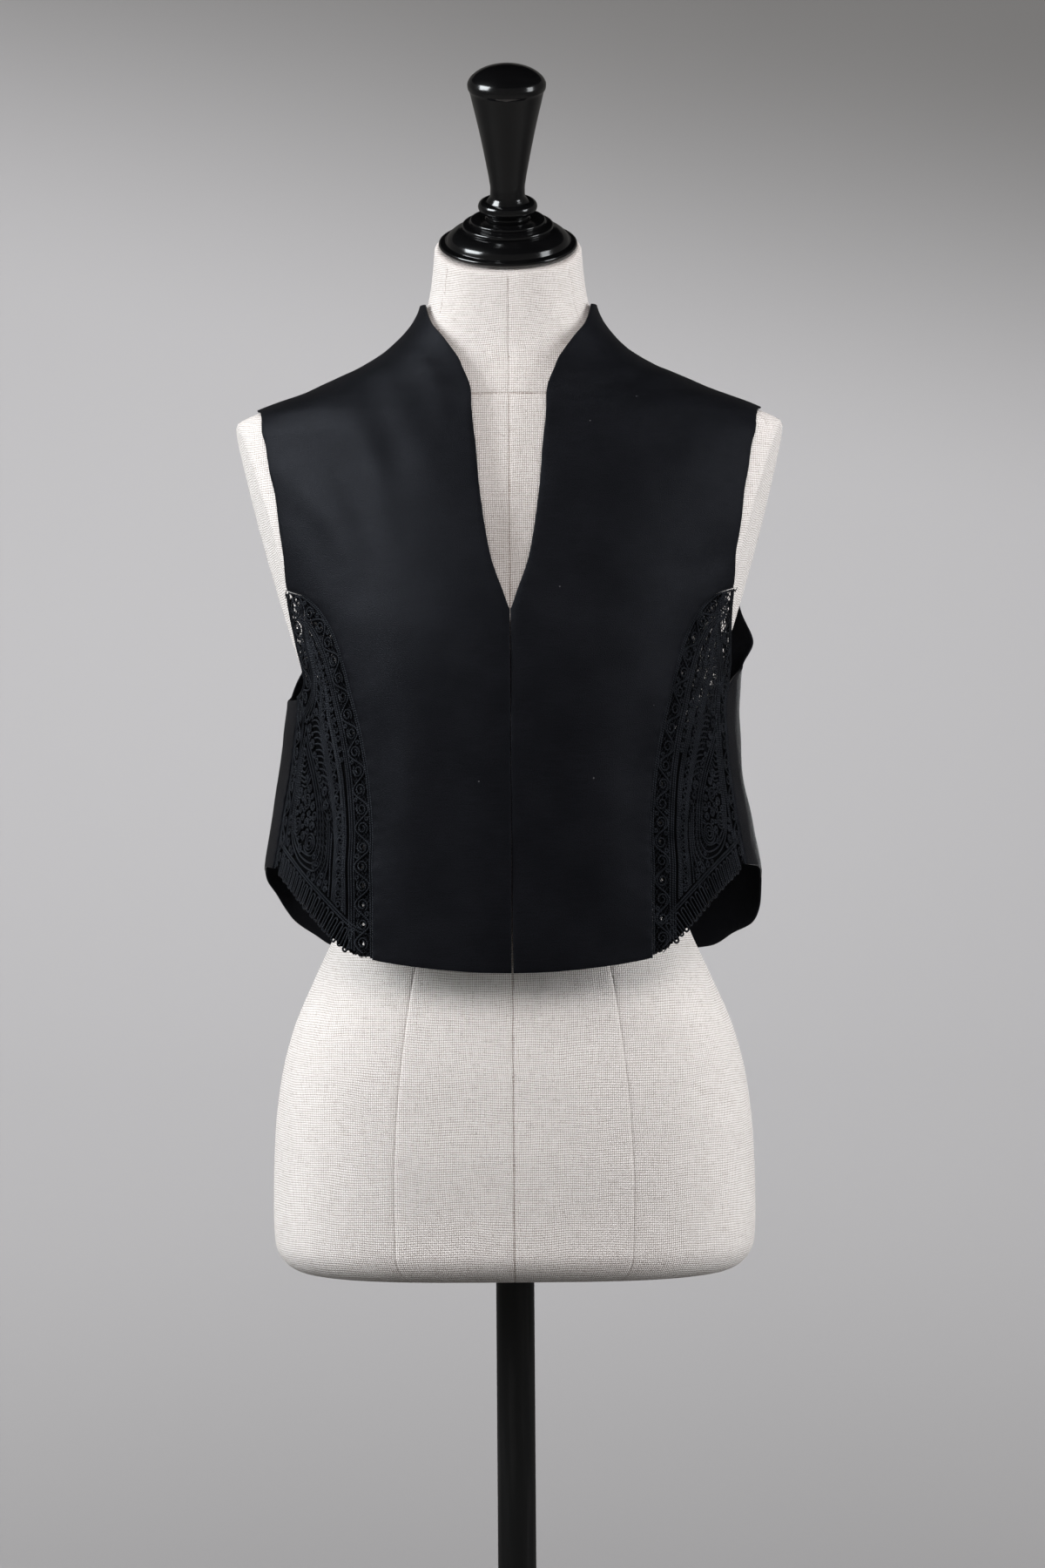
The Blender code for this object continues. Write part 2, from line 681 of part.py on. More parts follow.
def on_neck_plate(piece, lift):
    """Stands a turned piece on the sloping neck plate."""
    piece.rotation_euler = (NECK_TILT, 0.0, 0.0)
    piece.location = NECK_PLATE_CENTRE + lift * neck_axis()


def neck_cap():
    """The lacquered cap: a flange, a cushion moulding and two stepped discs."""
    profile = [
        (0.0, CAP_HEIGHT),
        (0.0246, CAP_HEIGHT),
        *arc((0.0250, 0.0187), 0.0012, 60, -50, 2),
        (0.0262, 0.0170),
        (0.0300, 0.0164),
        *arc((0.0303, 0.0148), 0.0015, 60, -50, 2),
        (0.0322, 0.0129),
        (0.0352, 0.0119),
        (0.0388, 0.0098),
        (0.0418, 0.0070),
        (0.0432, 0.0046),
        (0.0438, 0.0038),
        (0.0455, 0.0036),
        *arc((0.0465, 0.0018), 0.0018, 75, -75, 3),
        (0.0462, 0.0),
        (0.0, 0.0),
    ]
    cap = turned("neck_cap", profile, LACQUER)
    on_neck_plate(cap, FIT_GAP)
    return cap


def finial():
    """The turned knob: a ring, a waist, and a cone that widens to a domed top."""
    profile = [
        (0.0, 0.1078),
        (0.0100, 0.1070),
        (0.0175, 0.1044),
        (0.0225, 0.1010),
        (0.0252, 0.0975),
        (0.0262, 0.0940),
        (0.0258, 0.0905),
        (0.0236, 0.0824),
        (0.0192, 0.0638),
        (0.0145, 0.0410),
        (0.0120, 0.0280),
        (0.0110, 0.0215),
        (0.0112, 0.0165),
        (0.0132, 0.0135),
        *arc((0.0164, 0.0084), 0.0042, 100, -75, 5),
        (0.0148, 0.0028),
        (0.0142, 0.0010),
        (0.0158, 0.0),
        (0.0, 0.0),
    ]
    knob = turned("finial", profile, LACQUER)
    on_neck_plate(knob, CAP_HEIGHT + 2 * FIT_GAP)
    return knob


def pole():
    """The black tube between the base and the form's bore."""
    top = FORM_BOTTOM + POLE_IN_FORM - FIT_GAP
    profile = [(0.0, top), (POLE_RADIUS, top), (POLE_RADIUS, POLE_FOOT + FIT_GAP), (0.0, POLE_FOOT + FIT_GAP)]
    return turned("pole", profile, POLE_PAINT)


def base():
    """The round plate, with the boss that holds the pole's foot."""
    socket = POLE_RADIUS + FIT_GAP
    profile = [
        (0.0, POLE_FOOT),
        (socket, POLE_FOOT),
        (socket, BOSS_HEIGHT),
        (BOSS_RADIUS - 0.002, BOSS_HEIGHT),
        (BOSS_RADIUS, BOSS_HEIGHT - 0.002),
        (BOSS_RADIUS, BASE_THICKNESS + 0.006),
        (BOSS_RADIUS + 0.006, BASE_THICKNESS),
        (BASE_RADIUS - 0.004, BASE_THICKNESS),
        (BASE_RADIUS, BASE_THICKNESS - 0.004),
        (BASE_RADIUS, 0.0),
        (0.0, 0.0),
    ]
    return turned("base", profile, POLE_PAINT, steps=64)


def main():
    """Clears the scene and builds each piece once."""
    for obj in list(bpy.data.objects):
        bpy.data.objects.remove(obj)
    for name in ("vest_on_dress_form", "cutters"):
        bpy.context.scene.collection.children.link(bpy.data.collections.new(name))
    base()
    pole()
    dress_form()
    neck_cap()
    finial()
    front_panel(-1, "front_right")
    front_panel(+1, "front_left")
    lace_panel(-1, "lace_side_right")
    lace_panel(+1, "lace_side_left")
    back_panel("back")


main()
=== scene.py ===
"""The looks of a cropped vest with cord-lace sides, worn by a linen dress form on a pole and a round base.

Metres, +Z up, the front faces -Y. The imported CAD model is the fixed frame, and each piece stands in its node's place.
Angles go round the body: 0 is the centre front, +90 degrees is the wearer's left side, 180 the centre back.
"""

from __future__ import annotations

import logging
import math
from dataclasses import dataclass
from enum import Enum
from functools import cache
from typing import Iterable, Sequence, Union

import bmesh
import bpy
import numpy as np
from mathutils import Matrix, Vector
from mathutils.geometry import delaunay_2d_cdt

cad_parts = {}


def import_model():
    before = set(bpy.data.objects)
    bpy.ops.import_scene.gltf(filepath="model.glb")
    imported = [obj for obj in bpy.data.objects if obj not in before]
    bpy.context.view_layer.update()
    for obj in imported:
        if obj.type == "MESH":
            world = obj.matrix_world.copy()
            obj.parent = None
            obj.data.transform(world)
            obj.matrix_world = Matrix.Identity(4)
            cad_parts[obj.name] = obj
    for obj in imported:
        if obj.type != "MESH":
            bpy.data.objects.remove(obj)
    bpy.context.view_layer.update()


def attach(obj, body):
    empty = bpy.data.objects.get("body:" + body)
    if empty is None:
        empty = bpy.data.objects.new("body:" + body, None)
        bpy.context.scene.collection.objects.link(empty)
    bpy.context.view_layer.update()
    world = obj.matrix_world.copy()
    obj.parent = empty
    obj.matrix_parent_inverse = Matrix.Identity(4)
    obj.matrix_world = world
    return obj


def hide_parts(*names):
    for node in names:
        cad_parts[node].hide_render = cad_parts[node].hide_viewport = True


LOG = logging.getLogger("vest")
ROOT = "root"
UV_NAME = "UVMap"

Array = np.ndarray
Rows = Sequence[tuple[float, float]]
Color = tuple[float, float, float]
Piece = bpy.types.Object
Tree = bpy.types.NodeTree
Node = bpy.types.Node
Socket = bpy.types.NodeSocket
Inputs = dict[Union[str, int], object]


class Side(Enum):
    """The wearer's side that a piece is on. The value is the sign of X."""

    LEFT = 1
    RIGHT = -1

    @property
    def word(self) -> str:
        """The side as it stands in a piece's name."""
        return self.name.lower()


class Slot(Enum):
    """The record's material slots."""

    SATIN = "black_satin"
    CORD = "black_cord"
    LINEN = "linen"
    LACQUER = "black_lacquer"
    PAINT = "black_paint"


# ---- curves and surfaces ------------------------------------------------------------------------


def smooth(places: Array, values: Array, at: Array) -> Array:
    """Reads a cubic with no overshoot through knots.

    Args:
        places: the knots' places, rising.
        values: the knots' values.
        at: where to read, held to the knots' range.

    Returns:
        The value at each place asked for.
    """
    places, values = np.asarray(places, float), np.asarray(values, float)
    at = np.clip(np.asarray(at, float), places[0], places[-1])
    spans = np.diff(places)
    rises = np.diff(values) / spans
    before, after = rises[:-1], rises[1:]
    same = before * after > 0
    inner = np.where(same, 2 * before * after / np.where(same, before + after, 1.0), 0.0)
    slopes = np.concatenate([[rises[0]], inner, [rises[-1]]])
    row = np.clip(np.searchsorted(places, at, side="right") - 1, 0, len(spans) - 1)
    span = spans[row]
    t = (at - places[row]) / span
    return (
        (2 * t**3 - 3 * t**2 + 1) * values[row]
        + (t**3 - 2 * t**2 + t) * span * slopes[row]
        + (3 * t**2 - 2 * t**3) * values[row + 1]
        + (t**3 - t**2) * span * slopes[row + 1]
    )


def dense(line: Array, per_span: int = 12) -> Array:
    """A smooth line through a table's rows, with per_span steps between two rows."""
    line = np.asarray(line, float)
    stations = np.arange(len(line))
    at = np.linspace(0, len(line) - 1, per_span * (len(line) - 1) + 1)
    return np.stack([smooth(stations, line[:, k], at) for k in range(line.shape[1])], -1)


def lengths_along(points: Array) -> Array:
    """The distance along a line at each of its points."""
    return np.concatenate([[0.0], np.cumsum(np.linalg.norm(np.diff(points, axis=0), axis=1))])


def read_along(line: Array, along: Array, at: Array | float) -> Array:
    """A line's values at these distances, where along holds the distance at each of its rows."""
    return np.stack([np.interp(at, along, line[:, k]) for k in range(line.shape[1])], -1)


def evenly(line: Array, spacing: float) -> Array:
    """A line's points read again at an even spacing, with both its ends kept."""
    along = lengths_along(line)
    return read_along(line, along, np.linspace(0, along[-1], max(1, round(along[-1] / spacing)) + 1))


def square_to(line: Array) -> Array:
    """The unit direction to the right of a flat line at each of its points."""
    run = np.gradient(line, axis=0)
    run /= np.maximum(np.linalg.norm(run, axis=1, keepdims=True), 1e-12)
    return np.stack([run[:, 1], -run[:, 0]], -1)


def moved_aside(line: Array, shift: float) -> Array:
    """A flat line moved to its right by shift, square to its own run."""
    return line + shift * square_to(line)


def inside(outline: Array, points: Array) -> Array:
    """Whether each flat point lies inside a closed outline.

    Args:
        outline: rows of its corners, without the first again at the end.
        points: flat places.

    Returns:
        For each point, whether it lies inside.
    """
    a, b = outline, np.roll(outline, -1, axis=0)
    found = np.zeros(len(points), bool)
    for (ax, ay), (bx, by) in zip(a, b):
        if ay != by:
            across = (ay > points[:, 1]) != (by > points[:, 1])
            found ^= across & (points[:, 0] < ax + (points[:, 1] - ay) * (bx - ax) / (by - ay))
    return found


def distance_to_line(line: Array, points: Array, closed: bool = False) -> Array:
    """The flat distance from each point to a line of straight edges.

    Args:
        line: rows of a flat line's points.
        points: flat places.
        closed: whether the last row is joined to the first.

    Returns:
        One distance for each point.
    """
    ends = np.roll(line, -1, axis=0) if closed else line[1:]
    best = np.full(len(points), np.inf)
    for start, end in zip(line, ends):
        along = end - start
        share = np.clip((points - start) @ along / max(along @ along, 1e-18), 0.0, 1.0)
        best = np.minimum(best, np.linalg.norm(points - start - share[:, None] * along, axis=1))
    return best


@dataclass(frozen=True)
class Swell:
    """A lift of the surface round one spot. Angles are in degrees."""

    angle: float
    height: float
    across: float
    up: float
    down: float
    depth: float


class Surface:
    """A body of level rings with swells on it, such as the form or the vest as worn."""

    def __init__(self, rings: Sequence[Sequence[float]], swells: Sequence[Swell]) -> None:
        """Keeps the tables and measures the way round at each height.

        Args:
            rings: level sections, each two half superellipses that meet at the sides, as rows of (height, half width,
                Y at the front, Y at the back, Y at the sides, power).
            swells: the surface's lifts.
        """
        self.heights, *self.columns = np.array(rings).T
        self.swells = tuple(swells)
        self._levels = np.linspace(self.heights[0], self.heights[-1], 260)
        self._angles = np.linspace(0, 180, 721)
        grid = self.points(self._angles[None, :], self._levels[:, None])
        steps = np.linalg.norm(np.diff(grid, axis=1), axis=2)
        self._round = np.concatenate([np.zeros((len(grid), 1)), np.cumsum(steps, axis=1)], axis=1)
        self._reach = np.linspace(0, self._round.max(), 900)
        self._turns = np.array([np.interp(self._reach, row, self._angles) for row in self._round])

    def sizes(self, height: Array) -> list[Array]:
        """Half width, front, back, side and power at each height."""
        return [smooth(self.heights, column, height) for column in self.columns]

    def lift(self, angle: Array, height: Array) -> Array:
        """How far the swells lift the surface."""
        total = np.zeros(np.broadcast(angle, height).shape)
        for swell in self.swells:
            across = ((angle - swell.angle + 180) % 360 - 180) / swell.across
            reach = np.where(height > swell.height, swell.up, swell.down)
            total = total + swell.depth * np.exp(-(across**2) - ((height - swell.height) / reach) ** 2)
        return total

    def points(self, angle: Array, height: Array) -> Array:
        """The surface's points.

        Args:
            angle: degrees round the body.
            height: metres above the floor.

        Returns:
            X, Y and Z, on a last axis of three.
        """
        angle, height = np.broadcast_arrays(np.asarray(angle, float), np.asarray(height, float))
        half, front, back, side, power = self.sizes(height)
        sine, cosine = np.sin(np.radians(angle)), np.cos(np.radians(angle))
        reach = np.where(cosine > 0, front, back)
        x = np.sign(sine) * half * np.abs(sine) ** (2 / power)
        y = side + (reach - side) * np.abs(cosine) ** (2 / power)
        lift = self.lift(angle, height)
        return np.stack([x + lift * sine, y - lift * cosine, height], -1)

    def normals(self, angle: Array, height: Array) -> Array:
        """The outward directions at the same places."""
        turn, rise = 0.4, 0.0008
        across = self.points(angle + turn, height) - self.points(angle - turn, height)
        upward = self.points(angle, height + rise) - self.points(angle, height - rise)
        out = np.cross(across, upward)
        return out / np.maximum(np.linalg.norm(out, axis=-1, keepdims=True), 1e-12)

    def angle_at(self, x: Array, height: Array) -> Array:
        """The angle on the front half at a distance from the centre front."""
        half, _, _, _, power = self.sizes(height)
        return np.degrees(np.arcsin(np.clip(x / half, 0.0, 1.0) ** (power / 2)))

    def way_round(self, angle: Array, height: Array) -> Array:
        """The distance round the body from the centre front, with the angle's sign."""
        return np.sign(angle) * self._read(self._round, np.abs(angle) / 180, height)

    def angle_of(self, way: Array, height: Array) -> Array:
        """The angle at a distance round the body from the centre front."""
        return self._read(self._turns, way / self._reach[-1], height)

    def _read(self, table: Array, share: Array, height: Array) -> Array:
        """A measured table's values at a share of its columns and at a height, in straight lines between them."""
        place = (np.asarray(height, float) - self._levels[0]) / (self._levels[1] - self._levels[0])
        place = np.clip(place, 0, len(table) - 1.001)
        column = np.clip(share * (table.shape[1] - 1), 0, table.shape[1] - 1.001)
        r, k, up, t = place.astype(int), column.astype(int), place % 1, column % 1
        low, high = (table[row, k] * (1 - t) + table[row, k + 1] * t for row in (r, r + 1))
        return low * (1 - up) + high * up


FORM = Surface(
    (
        (0.762, 0.166, -0.102, 0.112, 0.004, 2.5), (0.8, 0.1683, -0.104, 0.116, 0.004, 2.5),
        (0.856, 0.1671, -0.106, 0.12, 0.004, 2.45), (0.893, 0.1632, -0.106, 0.117, 0.004, 2.4),
        (0.929, 0.1543, -0.103, 0.108, 0.002, 2.35), (0.966, 0.1385, -0.097, 0.093, 0.0, 2.3),
        (1.0, 0.123, -0.09, 0.08, 0.0, 2.2), (1.03, 0.114, -0.086, 0.074, 0.0, 2.2),
        (1.065, 0.115, -0.09, 0.077, 0.0, 2.2), (1.11, 0.121, -0.101, 0.086, 0.002, 2.2),
        (1.16, 0.14, -0.113, 0.095, 0.006, 2.15), (1.2, 0.16, -0.112, 0.099, 0.01, 2.1),
        (1.25, 0.188, -0.102, 0.1, 0.012, 2.05), (1.3, 0.204, -0.09, 0.096, 0.014, 2.0),
        (1.335, 0.203, -0.077, 0.088, 0.014, 2.0), (1.352, 0.194, -0.071, 0.083, 0.014, 2.0),
        (1.36, 0.179, -0.068, 0.08, 0.013, 2.0), (1.37, 0.145, -0.064, 0.076, 0.012, 2.0),
        (1.38, 0.121, -0.061, 0.072, 0.01, 2.0), (1.3895, 0.099, -0.059, 0.067, 0.007, 2.0),
        (1.3995, 0.082, -0.058, 0.061, 0.003, 2.0), (1.411, 0.0695, -0.0585, 0.055, -0.001, 2.0),
        (1.428, 0.0585, -0.0595, 0.048, -0.006, 2.0), (1.445, 0.054, -0.061, 0.043, -0.009, 2.0),
        (1.4745, 0.0512, -0.064, 0.036, -0.014, 2.0), (1.515, 0.0505, -0.068, 0.028, -0.02, 2.0),
    ),
    (Swell(36, 1.16, 20, 0.045, 0.04, 0.007), Swell(-36, 1.16, 20, 0.045, 0.04, 0.007)),
)

VEST = Surface(
    (
        (0.965, 0.184, -0.127, 0.15, 0.07, 2.3), (1.01, 0.1815, -0.13, 0.1475, 0.07, 2.3),
        (1.041, 0.178, -0.1305, 0.145, 0.07, 2.3), (1.069, 0.173, -0.131, 0.141, 0.07, 2.25),
        (1.1, 0.168, -0.1315, 0.137, 0.07, 2.25), (1.13, 0.164, -0.1315, 0.133, 0.066, 2.3),
        (1.162, 0.161, -0.1305, 0.128, 0.06, 2.4), (1.2, 0.169, -0.127, 0.122, 0.05, 2.4),
        (1.25, 0.193, -0.115, 0.116, 0.028, 2.15), (1.3, 0.208, -0.099, 0.109, 0.02, 2.0),
        (1.34, 0.205, -0.084, 0.097, 0.014, 2.0), (1.356, 0.192, -0.078, 0.091, 0.013, 2.0),
        (1.3645, 0.174, -0.0745, 0.087, 0.012, 2.0), (1.3745, 0.146, -0.0705, 0.0825, 0.01, 2.0),
        (1.3843, 0.124, -0.0675, 0.0775, 0.008, 2.0), (1.394, 0.102, -0.065, 0.0725, 0.005, 2.0),
        (1.404, 0.0845, -0.064, 0.0665, 0.001, 2.0), (1.4135, 0.0737, -0.064, 0.061, -0.002, 2.0),
        (1.4233, 0.0662, -0.0645, 0.056, -0.004, 2.0), (1.433, 0.062, -0.065, 0.0525, -0.006, 2.0),
        (1.45, 0.059, -0.066, 0.049, -0.008, 2.0),
    ),
    (
        Swell(36, 1.16, 20, 0.05, 0.16, 0.0055),
        Swell(-36, 1.16, 20, 0.05, 0.16, 0.0055),
        Swell(104, 1.203, 16, 0.022, 0.016, 0.011),
        Swell(92, 1.166, 14, 0.012, 0.018, 0.0025),
        Swell(-92, 1.17, 14, 0.016, 0.016, -0.0025),
        Swell(92, 1.104, 12, 0.018, 0.018, -0.0045),
        Swell(140, 1.02, 12, 0.15, 0.09, 0.007),
        Swell(165, 1.01, 11, 0.12, 0.09, -0.007),
        Swell(-172, 0.99, 10, 0.17, 0.09, 0.0055),
        Swell(-150, 1.01, 11, 0.13, 0.09, -0.0065),
        Swell(-125, 1.0, 13, 0.12, 0.09, 0.007),
    ),
)


# ---- finishes -----------------------------------------------------------------------------------


class NodeSketch:
    """Adds and joins the nodes of one shader or geometry tree."""

    def __init__(self, tree: Tree) -> None:
        """Starts on a tree."""
        self.tree = tree
        self._count = 0

    def feed(self, node: Node, inputs: Inputs) -> Node:
        """Links or sets a node's inputs, by name or place, and hands the node back."""
        for name, value in inputs.items():
            if isinstance(value, Socket):
                self.tree.links.new(value, node.inputs[name])
            else:
                node.inputs[name].default_value = value
        return node

    def add(self, kind: str, inputs: Inputs | None = None, **settings: object) -> Node:
        """Adds a node.

        Args:
            kind: the node's type name.
            inputs: values or other nodes' output sockets, by input name or place.
            settings: the node's own properties.

        Returns:
            The node.
        """
        node = self.tree.nodes.new(kind)
        node.location = (220 * (self._count % 8), -260 * (self._count // 8))
        self._count += 1
        for name, value in settings.items():
            setattr(node, name, value)
        return self.feed(node, inputs or {})

    def math(self, operation: str, *values: object) -> Socket:
        """A Math node's result."""
        return self.add("ShaderNodeMath", dict(enumerate(values)), operation=operation).outputs[0]

    def plus(self, a: object, b: object) -> Socket:
        """The sum of two values."""
        return self.math("ADD", a, b)

    def times(self, a: object, b: object) -> Socket:
        """The product of two values."""
        return self.math("MULTIPLY", a, b)

    def scaled(self, value: object, factor: object, more: object) -> Socket:
        """A value times a factor, and more."""
        return self.math("MULTIPLY_ADD", value, factor, more)

    def ramp(self, value: Socket, low: float, high: float) -> Socket:
        """A value turned to 0 at low and 1 at high, smoothly and held there."""
        return self.add("ShaderNodeMapRange", {0: value, 1: low, 2: high}, interpolation_type="SMOOTHSTEP").outputs[0]

    def blend(self, share: object, a: Color | Socket, b: Color | Socket) -> Socket:
        """Two colours mixed by a share."""
        a, b = ((*end, 1.0) if isinstance(end, tuple) else end for end in (a, b))
        return self.add("ShaderNodeMix", {0: share, 6: a, 7: b}, data_type="RGBA").outputs[2]

    def split(self, vector: Socket) -> Sequence[Socket]:
        """A vector's X, Y and Z."""
        return self.add("ShaderNodeSeparateXYZ", {0: vector}).outputs

    def noise(self, place: Socket, scale: object, detail: float = 1.0) -> Socket:
        """A Noise texture's value."""
        return self.add("ShaderNodeTexNoise", {"Vector": place, "Scale": scale, "Detail": detail}).outputs["Fac"]

    def stretched(self, place: Socket, scale: Color) -> Socket:
        """A place multiplied by its own number along each axis."""
        return self.add("ShaderNodeMapping", {"Vector": place, "Scale": scale}).outputs[0]

    def bump(self, height: Socket, distance: float, strength: float, under: Socket | None = None) -> Socket:
        """A Bump node's normal, over another one's where it is given."""
        over = {} if under is None else {"Normal": under}
        inputs = {"Height": height, "Distance": distance, "Strength": strength, **over}
        return self.add("ShaderNodeBump", inputs).outputs[0]

    def uv(self) -> Socket:
        """The piece's own UV map, in metres."""
        return self.add("ShaderNodeUVMap", uv_map=UV_NAME).outputs[0]

    def spot(self) -> Socket:
        """The place on the object."""
        return self.add("ShaderNodeTexCoord").outputs["Object"]

    def grouped(self, tree: Tree, **inputs: object) -> Sequence[Socket]:
        """A shader group's outputs, with its inputs set by name."""
        return self.add("ShaderNodeGroup", inputs, node_tree=tree).outputs


def new_group(name: str, numbers: dict[str, float], outputs: Sequence[str]) -> NodeSketch:
    """Starts a shader node group that takes a place and some numbers, and gives numbers.

    Args:
        name: the group's name.
        numbers: the usual value of each number that it takes.
        outputs: the names of what it gives.

    Returns:
        A sketch of the group's tree.
    """
    tree = bpy.data.node_groups.new(name, "ShaderNodeTree")
    tree.interface.new_socket("Place", in_out="INPUT", socket_type="NodeSocketVector")
    for label, value in numbers.items():
        tree.interface.new_socket(label, in_out="INPUT", socket_type="NodeSocketFloat").default_value = value
    for label in outputs:
        tree.interface.new_socket(label, in_out="OUTPUT", socket_type="NodeSocketFloat")
    return NodeSketch(tree)


@cache
def weave_group() -> Tree:
    """A woven cloth's threads: their relief, the tone of each thread, and its slubs.

    Returns:
        The group, made once. Place is in metres; Warp and Weft are the threads' pitches.
    """
    sketch = new_group("woven_threads", {"Warp": 0.0007, "Weft": 0.0007, "Step": 2.0}, ("Relief", "Tone", "Slub"))
    taken = sketch.add("NodeGroupInput").outputs
    # The threads wander a little, as they do in real cloth.
    shift = sketch.times(sketch.math("SUBTRACT", sketch.noise(taken["Place"], 22.0), 0.5), 0.006)
    parts = sketch.split(taken["Place"])
    threads = [
        sketch.math("DIVIDE", sketch.plus(part, shift), taken[name]) for part, name in zip(parts, ("Warp", "Weft"))
    ]
    rows = [sketch.math("FLOOR", thread) for thread in threads]
    # A large whole number keeps the count of rows above zero all over the cloth.
    over = sketch.math("MODULO", sketch.plus(rows[0], sketch.plus(rows[1], 4000.0)), taken["Step"])
    on_top = sketch.math("LESS_THAN", over, 1.0)
    across = [sketch.math("SINE", sketch.times(sketch.math("FRACT", thread), math.pi)) for thread in threads]
    relief = [sketch.times(across[k], sketch.scaled(across[1 - k], 0.55, 0.45)) for k in (0, 1)]
    tones, slubs = [], []
    for row, run, seed in ((rows[0], parts[1], 3.0), (rows[1], parts[0], 57.0)):
        near, far = (
            sketch.add("ShaderNodeCombineXYZ", {0: row, 1: sketch.times(run, per_metre), 2: seed + more}).outputs[0]
            for per_metre, more in ((55.0, 0), (130.0, 9))
        )
        tones.append(sketch.noise(near, 1.0))
        slubs.append(sketch.ramp(sketch.noise(far, 1.0, 0.0), 0.71, 0.8))
    sketch.add(
        "NodeGroupOutput",
        {
            name: sketch.add("ShaderNodeMix", {0: on_top, 2: weft, 3: warp}).outputs[0]
            for name, (warp, weft) in (("Relief", relief), ("Tone", tones), ("Slub", slubs))
        },
    )
    return sketch.tree


@cache
def specks_group() -> Tree:
    """Sparse lint or dust, and a slow unevenness, on any surface.

    Returns:
        The group, made once. Size is the reach of one speck's cell in metres.
    """
    sketch = new_group("lint_and_unevenness", {"Size": 0.006, "Share": 0.1, "Reach": 0.03}, ("Specks", "Uneven"))
    taken = sketch.add("NodeGroupInput").outputs
    scale = sketch.math("DIVIDE", 1.0, taken["Size"])
    cells = sketch.add("ShaderNodeTexVoronoi", {"Vector": taken["Place"], "Scale": scale}, feature="F1").outputs
    tint = sketch.add("ShaderNodeSeparateColor", {0: cells["Color"]}).outputs
    chosen = sketch.math("LESS_THAN", tint[0], taken["Share"])
    near = sketch.math("LESS_THAN", cells["Distance"], sketch.scaled(tint[1], 0.05, 0.02))
    uneven = sketch.noise(taken["Place"], sketch.math("DIVIDE", 1.0, taken["Reach"]), 3.0)
    sketch.add("NodeGroupOutput", {"Specks": sketch.times(chosen, near), "Uneven": uneven})
    return sketch.tree


def dusted(sketch: NodeSketch, place: Socket, size: float, share: float, reach: float) -> Sequence[Socket]:
    """Specks in this share of the cells of a size, and the unevenness of a reach, on one finish.

    Args:
        sketch: the finish's tree.
        place: where the surface is, in metres.
        size: the reach of one speck's cell.
        share: the share of the cells that hold a speck.
        reach: how far the unevenness reaches.

    Returns:
        The sockets 'Specks' and 'Uneven'.
    """
    return sketch.grouped(specks_group(), Place=place, Size=size, Share=share, Reach=reach)


@dataclass(frozen=True)
class Finish:
    """A procedural material for one of the record's slots."""

    name: str
    slot: Slot

    @cache
    def material(self) -> bpy.types.Material:
        """The finish's material, made once."""
        made = bpy.data.materials.new(self.name)
        made.use_nodes = True
        sketch = NodeSketch(made.node_tree)
        sketch.feed(made.node_tree.nodes["Principled BSDF"], self.dress(sketch))
        return made

    def dress(self, sketch: NodeSketch) -> Inputs:
        """What the Principled shader takes, by the name of its socket."""
        raise NotImplementedError


@dataclass(frozen=True)
class BlackSatin(Finish):
    """A fine, dense black satin with a soft sheen and a little lint."""

    name: str = "black_satin_cloth"
    slot: Slot = Slot.SATIN
    deep: Color = (0.0038, 0.0041, 0.0054)
    worn: Color = (0.0058, 0.0062, 0.008)
    lint: Color = (0.1, 0.1, 0.11)
    thread: float = 0.00042
    grains: float = 1450.0
    roughness: float = 0.19

    def dress(self, sketch: NodeSketch) -> Inputs:
        """Twill lines, slow unevenness, specks of lint and a sheen."""
        place = sketch.uv()
        woven = sketch.grouped(weave_group(), Place=place, Warp=self.thread, Weft=self.thread, Step=5.0)
        dust = dusted(sketch, place, 0.011, 0.045, 0.045)
        base = sketch.blend(sketch.ramp(dust["Uneven"], 0.3, 0.7), self.deep, self.worn)
        fine = sketch.noise(place, self.grains)
        shade = sketch.scaled(woven["Tone"], 1.1, sketch.scaled(fine, 2.4, -0.75))
        tinted = sketch.add("ShaderNodeVectorMath", {0: base, "Scale": shade}, operation="SCALE").outputs[0]
        return {
            "Base Color": sketch.blend(dust["Specks"], tinted, self.lint),
            "Roughness": sketch.scaled(fine, 0.56, self.roughness),
            "Normal": sketch.bump(woven["Relief"], 0.00006, 0.5, sketch.bump(fine, 0.0003, 0.75)),
            "Specular IOR Level": 0.17,
            "Specular Tint": (0.84, 0.88, 1.0, 1.0),
        }


@dataclass(frozen=True)
class BlackCord(Finish):
    """Black twisted cord: its plies wind round it, with a slight gleam on each."""

    name: str = "black_twisted_cord"
    slot: Slot = Slot.CORD
    # Painted shade and gleam: deep is the tone in the grooves between plies, worn the lighter tone on each ply's crest.
    deep: Color = (0.0042, 0.0048, 0.0064)
    worn: Color = (0.015, 0.0168, 0.0212)
    lint: Color = (0.11, 0.11, 0.12)
    ply: float = 0.0016
    roughness: float = 0.37

    def dress(self, sketch: NodeSketch) -> Inputs:
        """Slanting plies from the length along the cord and the way round it, with painted gleam on each ply's crest
        and painted shade in the grooves between plies.
        """
        parts = sketch.split(sketch.uv())
        turn = sketch.plus(sketch.math("DIVIDE", parts[0], self.ply), parts[1])
        ply = sketch.math("ABSOLUTE", sketch.math("SINE", sketch.times(turn, math.pi)))
        dust = dusted(sketch, sketch.spot(), 0.005, 0.05, 0.012)
        # Painted gleam and shade: lighter on each ply's crest, darker in the grooves between plies, varied by
        # unevenness.
        share = sketch.times(ply, sketch.ramp(dust["Uneven"], 0.2, 0.7))
        return {
            "Base Color": sketch.blend(dust["Specks"], sketch.blend(share, self.deep, self.worn), self.lint),
            "Roughness": sketch.scaled(dust["Uneven"], 0.2, self.roughness),
            "Normal": sketch.bump(ply, 0.0005, 0.9),
            "Specular IOR Level": 0.38,
            "Specular Tint": (0.82, 0.89, 1.0, 1.0),
        }


